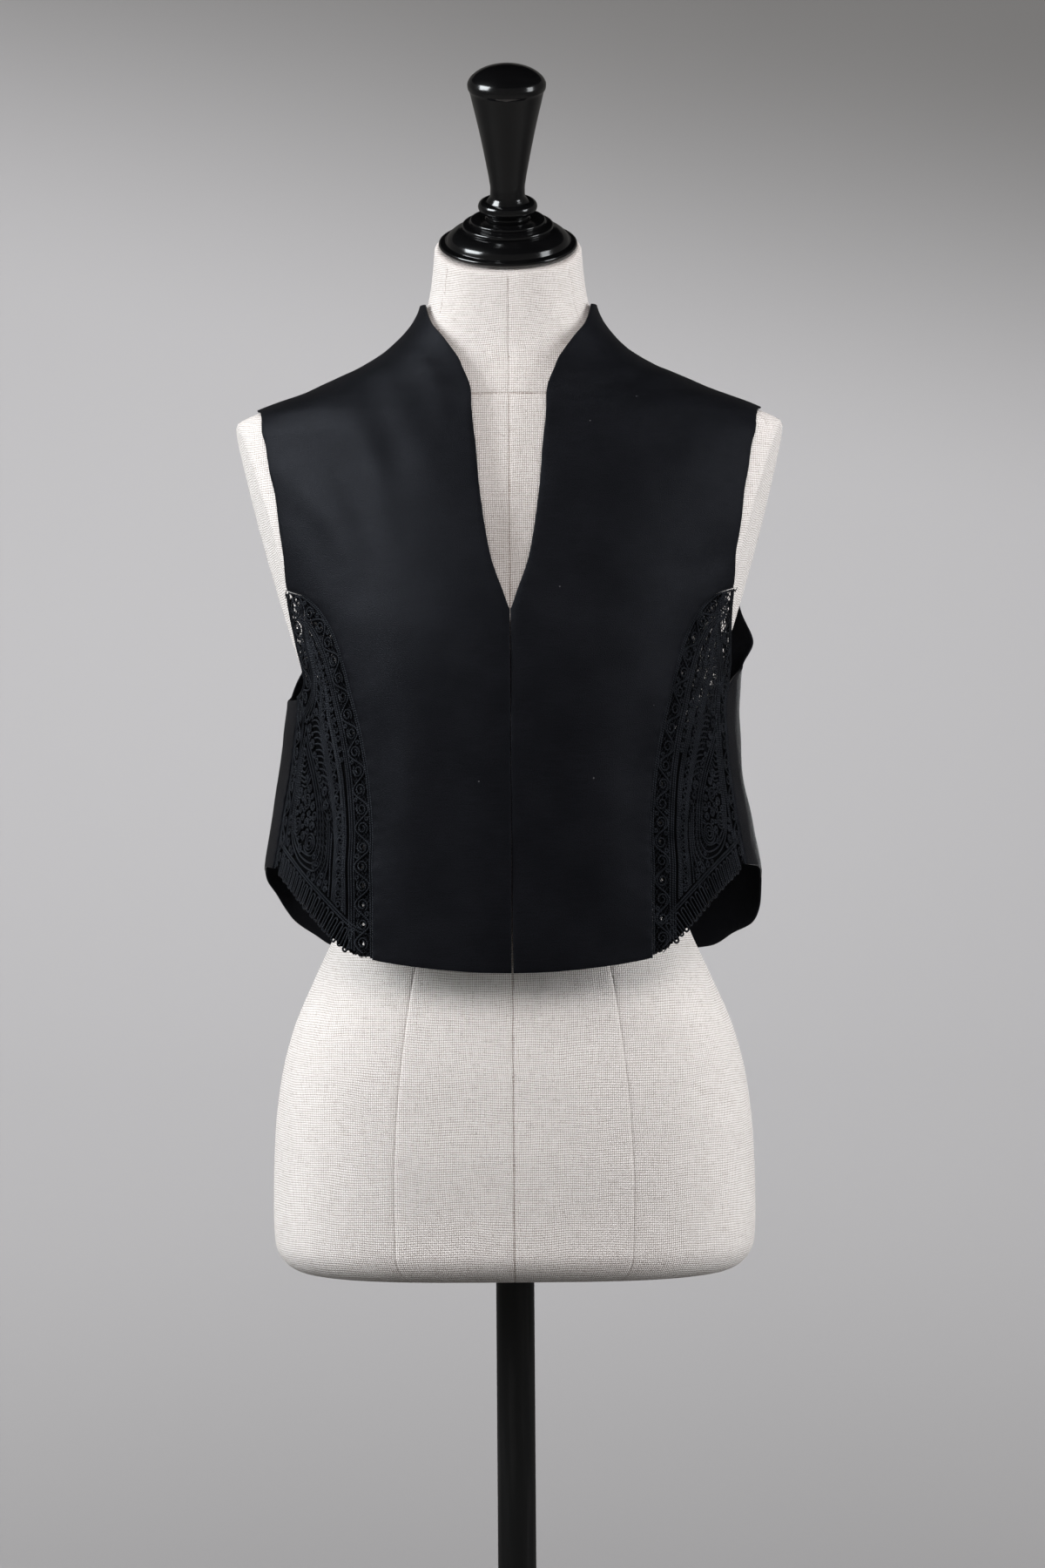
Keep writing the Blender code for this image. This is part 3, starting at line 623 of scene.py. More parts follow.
@dataclass(frozen=True)
class BlackGround(Finish):
    """The lace's close ground of fine black thread, dull, and darker than the cords as painted shade between them."""

    name: str = "black_lace_ground"
    slot: Slot = Slot.CORD
    # Painted shade: both tones are kept darker than the cord's, so the ground between the cords reads as shaded.
    deep: Color = (0.0012, 0.0013, 0.0016)
    worn: Color = (0.003, 0.0032, 0.004)
    lint: Color = (0.08, 0.08, 0.09)
    thread: float = 0.0006
    roughness: float = 0.72

    def dress(self, sketch: NodeSketch) -> Inputs:
        """Fine crossed threads in the relief and the colour, rougher in some places than in others."""
        spot = sketch.spot()
        dust = dusted(sketch, spot, 0.006, 0.03, 0.01)
        stretched = sketch.stretched(spot, (1.0 / self.thread, 0.35 / self.thread, 1.0 / self.thread))
        knots = sketch.add("ShaderNodeTexVoronoi", {"Vector": stretched, "Scale": 1.0}).outputs["Distance"]
        base = sketch.blend(sketch.times(knots, dust["Uneven"]), self.deep, self.worn)
        return {
            "Base Color": sketch.blend(dust["Specks"], base, self.lint),
            "Roughness": sketch.scaled(dust["Uneven"], 0.15, self.roughness),
            "Normal": sketch.bump(knots, 0.0003, 0.8),
            "Specular IOR Level": 0.05,
        }


@dataclass(frozen=True)
class Linen(Finish):
    """Undyed plain-woven linen: uneven threads and darker slubs."""

    name: str = "undyed_linen"
    slot: Slot = Slot.LINEN
    light: Color = (0.9, 0.87, 0.85)
    dark: Color = (0.4, 0.34, 0.305)
    fleck: Color = (0.2, 0.15, 0.115)
    thread: float = 0.0014
    neck_seam: float = 1.367
    seam_shade: tuple[float, float] = (0.0009, 0.0002)
    streak: tuple[float, float] = (0.0011, 0.012)
    roughness: float = 0.83

    def dress(self, sketch: NodeSketch) -> Inputs:
        """Threads in two tones, flecks where a thread thickens, the relief of the weave, and painted shade in the gaps
        between threads and along the seams.
        """
        place = sketch.uv()
        woven = sketch.grouped(weave_group(), Place=place, Warp=self.thread, Weft=self.thread * 1.12, Step=2.0)
        dust = dusted(sketch, place, 0.009, 0.1, 0.035)
        # Painted shade: the colour darkens towards the gaps between threads, where the weave's relief is low; each
        # thread's own tone is real.
        gap = sketch.ramp(woven["Relief"], 0.05, 0.8)
        tone = sketch.scaled(sketch.ramp(woven["Tone"], 0.2, 0.8), 0.55, 0.45)
        light = sketch.scaled(dust["Uneven"], 0.12, sketch.times(sketch.times(tone, gap), 1.6))
        streaks = sketch.plus(self._streaks(sketch, place, 0), self._streaks(sketch, place, 1))
        light = sketch.scaled(streaks, 0.6, light)
        # Painted shade along the neck seam and the centre seam below it.
        light = sketch.scaled(self._sewn(sketch, place), -0.6, light)
        base = sketch.blend(sketch.ramp(light, 0.5, 1.55), self.dark, self.light)
        flecked = sketch.blend(sketch.times(woven["Slub"], 0.62), base, self.fleck)
        return {
            "Base Color": sketch.blend(sketch.times(dust["Specks"], 0.8), flecked, self.fleck),
            "Roughness": sketch.scaled(dust["Uneven"], 0.1, self.roughness),
            "Normal": sketch.bump(woven["Relief"], 0.0005, 0.9),
            "Specular IOR Level": 0.15,
            "Sheen Weight": 0.03,
            "Sheen Roughness": 0.6,
        }

    def _sewn(self, sketch: NodeSketch, place: Socket) -> Socket:
        """1 in the shade of the neck seam and of the centre seam below it, which lie along the cloth's threads."""
        parts = sketch.split(place)
        above = sketch.math("SUBTRACT", parts[1], self.neck_seam)
        beside = sketch.plus(sketch.math("ABSOLUTE", parts[0]), sketch.math("GREATER_THAN", above, 0.0))
        return sketch.ramp(sketch.math("MINIMUM", sketch.math("ABSOLUTE", above), beside), *self.seam_shade)

    def _streaks(self, sketch: NodeSketch, place: Socket, axis: int) -> Socket:
        """Thicker and thinner runs of a few threads, along one of the cloth's two directions."""
        across, along = (1.0 / size for size in self.streak)
        return sketch.noise(sketch.stretched(place, (across, along, 1.0) if axis else (along, across, 1.0)), 1.0)


@dataclass(frozen=True)
class Lacquer(Finish):
    """Deep black lacquer on turned wood, rubbed to a gloss."""

    name: str = "black_lacquer_gloss"
    slot: Slot = Slot.LACQUER
    deep: Color = (0.0022, 0.0023, 0.0026)
    worn: Color = (0.006, 0.006, 0.0064)
    dust: Color = (0.16, 0.16, 0.16)
    turning: Color = (30.0, 30.0, 900.0)
    roughness: float = 0.13

    def dress(self, sketch: NodeSketch) -> Inputs:
        """Turning marks under the coat, a little dust, and rubbing that dulls it unevenly."""
        spot = sketch.spot()
        dust = dusted(sketch, spot, 0.0045, 0.06, 0.02)
        marks = sketch.noise(sketch.stretched(spot, self.turning), 1.0)
        base = sketch.blend(sketch.times(marks, dust["Uneven"]), self.deep, self.worn)
        rough = sketch.scaled(dust["Uneven"], 0.1, self.roughness)
        return {
            "Base Color": sketch.blend(sketch.times(dust["Specks"], 0.5), base, self.dust),
            "Roughness": sketch.plus(rough, sketch.times(dust["Specks"], 0.3)),
            "Normal": sketch.bump(marks, 0.00003, 0.3),
            "Specular IOR Level": 0.5,
            "Coat Weight": 0.6,
            "Coat Roughness": 0.11,
        }


@dataclass(frozen=True)
class BlackPaint(Finish):
    """Black stove paint on steel, with a soft grain and long rubbed streaks a little brighter."""

    name: str = "black_stove_paint"
    slot: Slot = Slot.PAINT
    deep: Color = (0.004, 0.0042, 0.0044)
    worn: Color = (0.01, 0.01, 0.0102)
    dust: Color = (0.14, 0.14, 0.14)
    streaks: Color = (160.0, 160.0, 9.0)
    grains: float = 1400.0
    roughness: float = 0.29

    def dress(self, sketch: NodeSketch) -> Inputs:
        """A fine grain in the relief, long rubbed streaks in the colour, and dust."""
        spot = sketch.spot()
        dust = dusted(sketch, spot, 0.008, 0.06, 0.05)
        rubbed = sketch.noise(sketch.stretched(spot, self.streaks), 1.0, 2.0)
        base = sketch.blend(sketch.ramp(rubbed, 0.45, 0.8), self.deep, self.worn)
        return {
            "Base Color": sketch.blend(sketch.times(dust["Specks"], 0.4), base, self.dust),
            "Roughness": sketch.scaled(dust["Uneven"], 0.14, self.roughness),
            "Normal": sketch.bump(sketch.noise(spot, self.grains), 0.00006, 0.5),
            "Specular IOR Level": 0.45,
        }


SATIN, CORD, CORD_GROUND, LINEN = BlackSatin(), BlackCord(), BlackGround(), Linen()
LACQUER, PAINT = Lacquer(), BlackPaint()


# ---- meshes and pieces --------------------------------------------------------------------------


def mesh_from(name: str, points: Array, faces: Sequence[Sequence[int]], uvs: Array | None = None) -> bpy.types.Mesh:
    """A mesh from points and faces.

    Args:
        name: the mesh's name.
        points: one row for each vertex.
        faces: vertex numbers, outward side up.
        uvs: one row for each corner, in the faces' order, or None.

    Returns:
        The mesh.
    """
    mesh = bpy.data.meshes.new(name)
    mesh.from_pydata(np.asarray(points, float).tolist(), [], [list(map(int, face)) for face in faces])
    if uvs is not None:
        layer = mesh.uv_layers.new(name=UV_NAME)
        layer.data.foreach_set("uv", np.asarray(uvs, np.float32).ravel())
    return mesh


def linked(name: str, mesh: bpy.types.Mesh) -> Piece:
    """A mesh as an object in the scene, at the origin."""
    obj = bpy.data.objects.new(name, mesh)
    bpy.context.scene.collection.objects.link(obj)
    return obj


def walled(obj: Piece, thickness: float) -> Piece:
    """Gives a sheet's surface a wall on its inner side."""
    shell = obj.modifiers.new("wall", "SOLIDIFY")
    shell.thickness = thickness
    shell.offset = -1.0
    return obj


def baked(obj: Piece) -> Piece:
    """Turns an object and its modifiers into a plain mesh, with nothing left live."""
    bpy.context.view_layer.update()
    graph = bpy.context.evaluated_depsgraph_get()
    mesh = bpy.data.meshes.new_from_object(obj.evaluated_get(graph), preserve_all_data_layers=True, depsgraph=graph)
    obj.modifiers.clear()
    obj.data = mesh
    return obj


def finished(obj: Piece, finish: Finish, nodes: Iterable[str], sharp: float) -> Piece:
    """Dresses a piece and gives it its place in the part.

    Args:
        obj: the piece, a plain mesh at the origin.
        finish: its material, which names the record's slot too.
        nodes: the CAD nodes that it stands for.
        sharp: edges that turn by more than this many degrees stay sharp.

    Returns:
        The same piece.
    """
    obj.data.materials.clear()
    obj.data.materials.append(finish.material())
    obj.data.shade_smooth()
    obj.data.set_sharp_from_angle(angle=math.radians(sharp))
    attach(obj, ROOT)
    for node in nodes:
        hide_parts(node)
    LOG.info("%s: %d triangles", obj.name, sum(len(face.vertices) - 2 for face in obj.data.polygons))
    return obj


def uneven(points: Array, reach: float, depth: float, seed: int) -> Array:
    """A soft, seeded unevenness over points: a sum of slanting waves.

    Args:
        points: the places.
        reach: the waves' usual length.
        depth: about how far they lift a point.
        seed: the draw's seed.

    Returns:
        A lift for each point.
    """
    draw = np.random.default_rng(seed)
    total = np.zeros(len(points))
    for _ in range(9):
        turn = draw.normal(size=3)
        turn /= np.linalg.norm(turn)
        total += np.sin(points @ turn * (2 * math.pi / (reach * draw.uniform(0.7, 1.6))) + draw.uniform(0, 6.28))
    return total * depth / 3.0


# ---- the dress form -----------------------------------------------------------------------------


@dataclass
class DressForm:
    """The linen torso: a padded body with sewn seams, flat arm plates and a sloping neck plate."""

    bottom: float = 0.762
    edge_radius: float = 0.021
    neck_edge_radius: float = 0.003
    neck_from: float = 1.4
    neck_centre: tuple[float, float, float] = (0.0, -0.014, 1.4745)
    neck_tilt: float = 27.0
    plate_x: float = 0.166
    plate_height: float = 1.26
    plate_low: float = 1.1
    plate_lean: float = 14.9
    plate_turn: float = 8.2
    plate_edge: float = 0.0011
    bore_radius: float = 0.0138
    bore_depth: float = 0.12
    step: float = 0.0034
    groove: float = 0.00065
    padding_reach: float = 0.11
    padding_depth: float = 0.00035
    widest_share: float = 0.8
    neck_seam: float = 1.367

    # Rows of (height, distance from the centre) of the princess seams, front and back.
    front_princess: Rows = (
        (0.762, 0.08), (0.827, 0.081), (0.881, 0.0785), (0.925, 0.074), (0.96, 0.069), (1.01, 0.061), (1.06, 0.059),
        (1.16, 0.076), (1.26, 0.09), (1.345, 0.1), (1.515, 0.05),
    )
    back_princess: Rows = ((0.762, 0.07), (0.9, 0.069), (1.04, 0.048), (1.2, 0.072), (1.345, 0.095), (1.515, 0.05))
    # How deep a groove is, as a share, at the distances from its seam.
    beside_seam: tuple[float, ...] = (0.0, 0.0008, 0.0019)
    depth_beside: tuple[float, ...] = (1.0, 0.32, -0.1)
    beside_neck_seam: tuple[float, ...] = (0.0, 0.0008, 0.0018, 0.003)

    def build(self) -> Piece:
        """Builds the torso as one closed mesh."""
        heights = self._heights()
        way, seam = self._columns(heights)
        points, uvs = zip(*(self._half(heights, way, seam, side) for side in Side))
        faces, corners = [], []
        rows, columns = points[0].shape[:2]
        for k, side in enumerate(Side):
            start = k * rows * columns
            for r in range(rows - 1):
                for c in range(columns - 1):
                    low, high = start + r * columns + c, start + (r + 1) * columns + c
                    ring = [low, low + 1, high + 1, high]
                    faces.append(ring if side is Side.LEFT else ring[::-1])
                    corners += faces[-1]
        cloth = np.concatenate([grid.reshape(-1, 3) for grid in points])
        flat = np.concatenate([grid.reshape(-1, 2) for grid in uvs])
        mesh = mesh_from("torso_linen", cloth, faces, flat[corners])
        bm = bmesh.new()
        bm.from_mesh(mesh)
        bmesh.ops.remove_doubles(bm, verts=bm.verts[:], dist=2e-6)
        bmesh.ops.holes_fill(bm, edges=[edge for edge in bm.edges if edge.is_boundary], sides=0)
        bmesh.ops.recalc_face_normals(bm, faces=bm.faces[:])
        bm.to_mesh(mesh)
        bm.free()
        torso = finished(linked("torso_linen", mesh), LINEN, ["torso"], sharp=50)
        return torso

    def _heights(self) -> Array:
        """Row heights, close together at the lower edge and at the neck seam, up to the neck."""
        edge = self.bottom + self.edge_radius * (1 - np.cos(np.radians(np.linspace(0, 90, 12))))
        trunk = np.arange(edge[-1] + self.step, self.neck_from, self.step)
        near = np.abs(trunk - self.neck_seam) > 0.0022
        seam = np.array(self.beside_neck_seam[:3])
        seam = self.neck_seam + np.concatenate([-seam[:0:-1], seam])
        return np.sort(np.concatenate([edge, trunk[near], seam]))

    def _columns(self, heights: Array) -> tuple[Array, Array]:
        """The way round of each column at each height, and how deep each column lies in a seam."""
        total = FORM.way_round(np.full_like(heights, 180.0), heights)
        widest = FORM.sizes(heights)[0] * self.widest_share
        front, back = (
            FORM.angle_at(np.minimum(smooth(*np.array(line).T, heights), widest), heights)
            for line in (self.front_princess, self.back_princess)
        )
        front, back = FORM.way_round(front, heights), FORM.way_round(180 - back, heights)
        side = FORM.way_round(np.full_like(heights, 90.0), heights)
        knots = [np.zeros_like(heights), front, side, back, total]
        beside, depth = np.array(self.beside_seam), self.depth_beside
        inner = np.linspace(0, 1, 26)[1:-1]
        way, seam = [], []
        for low, high in zip(knots, knots[1:]):
            spread = low[:, None] + beside[-1] + (high - low - 2 * beside[-1])[:, None] * inner
            way += [low[:, None] + beside, spread, high[:, None] - beside[:0:-1]]
            seam += [*depth, *([0.0] * len(inner)), *depth[:0:-1]]
        return np.concatenate([*way, total[:, None]], axis=1), np.array([*seam, 1.0])

    def _half(self, heights: Array, way: Array, seam: Array, side: Side) -> tuple[Array, Array]:
        """One half's rows of points from the bore up to the neck plate's middle, with their UVs.

        Args:
            heights: the rows' heights.
            way: the way round of each column at each height.
            seam: how deep each column lies in a seam.
            side: which half.

        Returns:
            The points and their UVs, as two grids of rows and columns.
        """
        level = np.broadcast_to(heights[:, None], way.shape)
        angle = FORM.angle_of(way, level)
        angle[:, 0], angle[:, -1] = 0.0, 180.0
        points = FORM.points(angle, level)
        normals = FORM.normals(angle, level)
        across = np.abs(heights - self.neck_seam)
        ring = np.interp(across, self.beside_neck_seam, [*self.depth_beside, 0.0])
        depth = np.maximum(seam[None, :], 1.5 * ring[:, None]) * self.groove
        padding = uneven(points.reshape(-1, 3), self.padding_reach, self.padding_depth, 5).reshape(depth.shape)
        points = points + (padding - depth)[..., None] * normals
        below = np.maximum(self.bottom + self.edge_radius - heights, 0.0)
        inset = self.edge_radius - np.sqrt(np.maximum(self.edge_radius**2 - below**2, 0.0))
        outward = points[..., :2] / np.linalg.norm(points[..., :2], axis=-1, keepdims=True)
        points[..., :2] -= inset[:, None, None] * outward
        points = self._with_arm_plate(points)
        neck = self._neck(angle[-1], seam)
        points = np.concatenate([self._under(points[0]), points, neck])
        flat = np.stack([np.zeros(points.shape[:2]), points[..., 2]], -1)
        extra_low = len(points) - len(heights) - len(neck)
        flat[:, :, 0] = np.concatenate([np.repeat(way[:1], extra_low, 0), way, np.repeat(way[-1:], len(neck), 0)])
        flat[:extra_low, :, 1] = points[:extra_low, :, 1]
        flat[:extra_low, :, 0] = points[:extra_low, :, 0]
        if side is Side.RIGHT:
            points = points * np.array([-1.0, 1.0, 1.0])
            flat = flat * np.array([-1.0, 1.0])
        return points, flat

    def _with_arm_plate(self, points: Array) -> Array:
        """Flattens the shoulder's end onto the arm plate, with a soft edge."""
        turn, lean = math.radians(self.plate_turn), math.radians(self.plate_lean)
        out = np.array([1.0, -math.tan(turn), -math.tan(lean)])
        out /= np.linalg.norm(out)
        beyond = (points - np.array([self.plate_x, 0.0, self.plate_height])) @ out
        held = -self.plate_edge * np.logaddexp(0.0, -beyond / self.plate_edge)
        move = np.where(points[..., 2] > self.plate_low, held - beyond, 0.0)
        return points + move[..., None] * out

    def _neck(self, angle: Array, seam: Array) -> Array:
        """Rows from the shoulders up to the sloping neck plate, over its edge and in to its middle.

        Args:
            angle: the columns' angles at the neck.
            seam: how deep each column lies in a seam.

        Returns:
            Rows of points.
        """
        centre = np.array(self.neck_centre)
        slope = math.tan(math.radians(self.neck_tilt))
        top = np.full_like(angle, centre[2])
        for _ in range(40):
            top = 0.5 * top + 0.5 * (centre[2] + slope * (FORM.points(angle, top)[:, 1] - centre[1]))
        radius = self.neck_edge_radius
        shares = [(share, 0.0) for share in np.linspace(1.0, 0.0, 22)[1:-1]]
        rows = []
        for share, bend in shares + [(0.0, turn) for turn in np.radians(np.linspace(0, 90, 7))]:
            drop = radius * (1 - math.sin(bend))
            height = np.where(share > 0, self.neck_from + (top - radius - self.neck_from) * (1 - share), top - drop)
            ring = FORM.points(angle, height)
            deep = seam * self.groove * (1.0 if share > 0 else 0.0)
            ring -= deep[:, None] * FORM.normals(angle, height)
            out = ring[:, :2] - centre[:2]
            out /= np.linalg.norm(out, axis=1, keepdims=True)
            ring[:, :2] -= radius * (1 - math.cos(bend)) * out
            rows.append(ring)
        rim = rows[-1]
        rows += [centre + (rim - centre) * share for share in (0.92, 0.75, 0.5, 0.25, 0.04)]
        return np.array(rows)

    def _under(self, rim: Array) -> Array:
        """Rows of the underside, from inside the pole's bore out to the lower edge."""
        turn = np.arctan2(rim[:, 0], -rim[:, 1])
        mouth = np.stack([np.sin(turn), -np.cos(turn), np.zeros_like(turn)], -1) * self.bore_radius
        mouth[:, 2] = self.bottom
        inner = mouth + np.array([0.0, 0.0, self.bore_depth])
        middle = np.array([0.0, 0.0, self.bottom + self.bore_depth])
        rows = [middle + (inner - middle) * share for share in (0.05, 0.5)] + [inner, mouth]
        rows += [mouth + (rim - mouth) * share for share in (0.03, 0.2, 0.4, 0.6, 0.8, 0.93)]
        return np.array(rows)


# ---- turned pieces ------------------------------------------------------------------------------


def rounded(*rows: tuple[float, float]) -> Rows:
    """A smooth stretch of a turned profile through rows of (radius, height)."""
    return [tuple(row) for row in dense(np.array(rows), 6)]


def arc(radius: float, height: float, bend: float, start: float, end: float, steps: int = 8) -> Rows:
    """A round moulding of a turned profile.

    Args:
        radius: the moulding's middle, from the axis.
        height: its middle's height.
        bend: its own radius.
        start: the angle in degrees where it starts, from the outward direction.
        end: the angle where it ends.
        steps: how many edges it has.

    Returns:
        Rows of (radius, height).
    """
    turn = np.radians(np.linspace(start, end, steps + 1))
    return [(radius + bend * math.cos(a), height + bend * math.sin(a)) for a in turn]


def turned(name: str, finish: Finish, profile: Rows, place: Matrix | None = None, steps: int = 128) -> Piece:
    """A piece spun about its own axis.

    Args:
        name: the CAD node's name.
        finish: its finish, whose slot's last word ends the piece's name.
        profile: rows of (radius, height), top to bottom, from the axis and back to it.
        place: where its own axis and foot stand, if not at the origin.
        steps: how many faces go round it.

    Returns:
        The finished piece.
    """
    apart = [row for last, row in zip([(-1.0, 0.0), *profile], profile) if math.dist(last, row) > 1e-6]
    inner = np.array(apart[1:-1])
    turn = np.linspace(0, 2 * math.pi, steps, endpoint=False)
    rings = [inner[:, :1] * np.cos(turn), inner[:, :1] * np.sin(turn), np.repeat(inner[:, 1:], steps, 1)]
    ends = [[0, 0, apart[0][1]], [0, 0, apart[-1][1]]]
    points = np.concatenate([np.stack(rings, -1).reshape(-1, 3), ends])
    top, foot = len(points) - 2, len(points) - 1
    faces = []
    for c in range(steps):
        d = (c + 1) % steps
        faces.append((top, c, d))
        faces += [(a + c, a + steps + c, a + steps + d, a + d) for a in range(0, foot - 1 - steps, steps)]
        faces.append((foot, foot - 1 - steps + d, foot - 1 - steps + c))
    mesh = mesh_from(name, points, faces)
    mesh.transform(place or Matrix.Identity(4))
    return finished(linked(name, mesh), finish, [name.rsplit("_", 1)[0]], sharp=38.0)


@dataclass
class Stand:
    """The turned pieces: cap and finial on the neck plate, and the pole in its round base."""

    neck_centre: Vector
    neck_tilt: float
    form_bottom: float
    gap: float = 0.0004
    cap_height: float = 0.02
    pole_radius: float = 0.0134
    pole_in_form: float = 0.12
    pole_foot: float = 0.006
    pole_edge: float = 0.001
    pole_rings: int = 40
    base_radius: float = 0.205
    base_thickness: float = 0.008
    boss_radius: float = 0.024
    boss_height: float = 0.045
    boss_fillet: float = 0.006
    mouth_edge: float = 0.0006

    def build(self) -> list[Piece]:
        """Builds the four pieces."""
        return [self._cap(), self._finial(), self._pole(), self._base()]

    def _on_plate(self, lift: float) -> Matrix:
        """The place of a piece that stands on the neck plate, lifted along its axis."""
        turn = Matrix.Rotation(math.radians(self.neck_tilt), 4, "X")
        return Matrix.Translation(self.neck_centre + turn @ Vector((0, 0, lift))) @ turn

    def _cap(self) -> Piece:
        """The neck cap: a dome with two beads above it and a bead at its rim."""
        profile = [(0.0, self.cap_height), (0.0246, self.cap_height)]
        profile += arc(0.025, 0.0188, 0.0012, 70, -60)
        profile += rounded((0.0258, 0.0176), (0.0272, 0.0168), (0.0299, 0.0164))
        profile += arc(0.0303, 0.0149, 0.0015, 75, -60)
        profile += rounded(
            (0.0314, 0.0133), (0.033, 0.0127), (0.0352, 0.0119), (0.0388, 0.0098), (0.0418, 0.007), (0.043, 0.0048),
            (0.0434, 0.004),
        )
        profile += [(0.0438, 0.0037), (0.0455, 0.0036), *arc(0.0465, 0.0018, 0.0018, 80, -80)]
        return turned("neck_cap_lacquered", LACQUER, [*profile, (0.0462, 0.0), (0.0, 0.0)], self._on_plate(self.gap))

    def _finial(self) -> Piece:
        """The finial: a domed knob on a waisted stem, with a bead and a small foot."""
        profile = rounded(
            (0.0, 0.1078), (0.005, 0.1076), (0.011, 0.1067), (0.0175, 0.1045), (0.0227, 0.1013), (0.0257, 0.0982),
            (0.027, 0.095), (0.0268, 0.0925), (0.0257, 0.0903), (0.0238, 0.0824), (0.0196, 0.0638), (0.0151, 0.041),
            (0.0128, 0.028), (0.012, 0.0215), (0.0121, 0.0165), (0.0136, 0.0137),
        )
        profile += arc(0.0164, 0.0084, 0.0042, 112, -80, 12)
        profile += rounded((0.015, 0.0036), (0.0141, 0.0022), (0.0142, 0.0012), (0.0156, 0.0002))
        profile += [(0.0158, 0.0), (0.0, 0.0)]
        return turned("finial_lacquered", LACQUER, profile, self._on_plate(self.cap_height + 2 * self.gap))

    def _pole(self) -> Piece:
        """The pole, from its socket in the base up into the form."""
        radius, edge, rings = self.pole_radius, self.pole_edge, self.pole_rings
        top = self.form_bottom + self.pole_in_form - self.gap
        foot = self.pole_foot + self.gap
        profile = [(0.0, top), (radius - edge, top), (radius, top - edge)]
        profile += [(radius, top - edge - (top - 2 * edge - foot) * k / rings) for k in range(1, rings + 1)]
        return turned("pole_painted", PAINT, [*profile, (radius - edge, foot), (0.0, foot)], steps=64)

    def _base(self) -> Piece:
        """The base plate, with the boss and the socket that hold the pole."""
        thick, socket = self.base_thickness, self.pole_radius + self.gap
        boss, boss_top, fillet = self.boss_radius, self.boss_height, self.boss_fillet
        profile = [(0.0, self.pole_foot), (socket, self.pole_foot)]
        profile += [(socket, boss_top - self.mouth_edge), (socket + self.mouth_edge, boss_top)]
        profile += arc(boss - 0.002, boss_top - 0.002, 0.002, 90, 0)
        profile += [(boss, thick + fillet), *arc(boss + fillet, thick + fillet, fillet, 180, 270)]
        profile += [(0.06, thick), (0.12, thick), (0.17, thick)]
        profile += arc(self.base_radius - 0.0035, thick - 0.0035, 0.0035, 90, 0)
        profile += arc(self.base_radius - 0.001, 0.001, 0.001, 0, -90, 4)
        return turned("base_painted", PAINT, [*profile, (0.1, 0.0), (0.0, 0.0)], steps=192)


# ---- the vest's cut -----------------------------------------------------------------------------

# The body's usual radius, by which angles are laid out flat.
FLAT_RADIUS = 0.17


@dataclass(frozen=True)
class Crease:
    """A soft ridge, or a trough where depth is negative, along a line of (x, height) as worn."""

    line: Rows
    width: float
    depth: float

    def lift(self, points: Array) -> Array:
        """How far the crease moves each point outwards, dying away at its ends and sides."""
        line = evenly(dense(np.array(self.line), 8), 0.004)
        flat = points[:, [0, 2]]
        best, share = np.full(len(flat), np.inf), np.zeros(len(flat))
        along = lengths_along(line) / lengths_along(line)[-1]
        for k in range(len(line) - 1):
            run = line[k + 1] - line[k]
            t = np.clip((flat - line[k]) @ run / (run @ run), 0, 1)
            off = np.linalg.norm(flat - line[k] - t[:, None] * run, axis=1)
            nearer = off < best
            best = np.where(nearer, off, best)
            share = np.where(nearer, along[k] + t * (along[k + 1] - along[k]), share)
        fade = np.sin(math.pi * np.clip(0.12 + 0.8 * share, 0, 1)) ** 0.8
        return self.depth * fade * np.exp(-((best / self.width) ** 2))


@dataclass(frozen=True)
class SideCut:
    """The lines that differ from one side of the vest to the other.

    Lace and armhole lines are rows of (distance from the centre front, height), and the back's hem and
    underarm are rows of (angle, height).
    """

    lace_armhole: Rows
    side_seam: Rows
    lace_hem: Rows
    back_armhole: Rows
    back_hem: Rows
    underarm: Rows


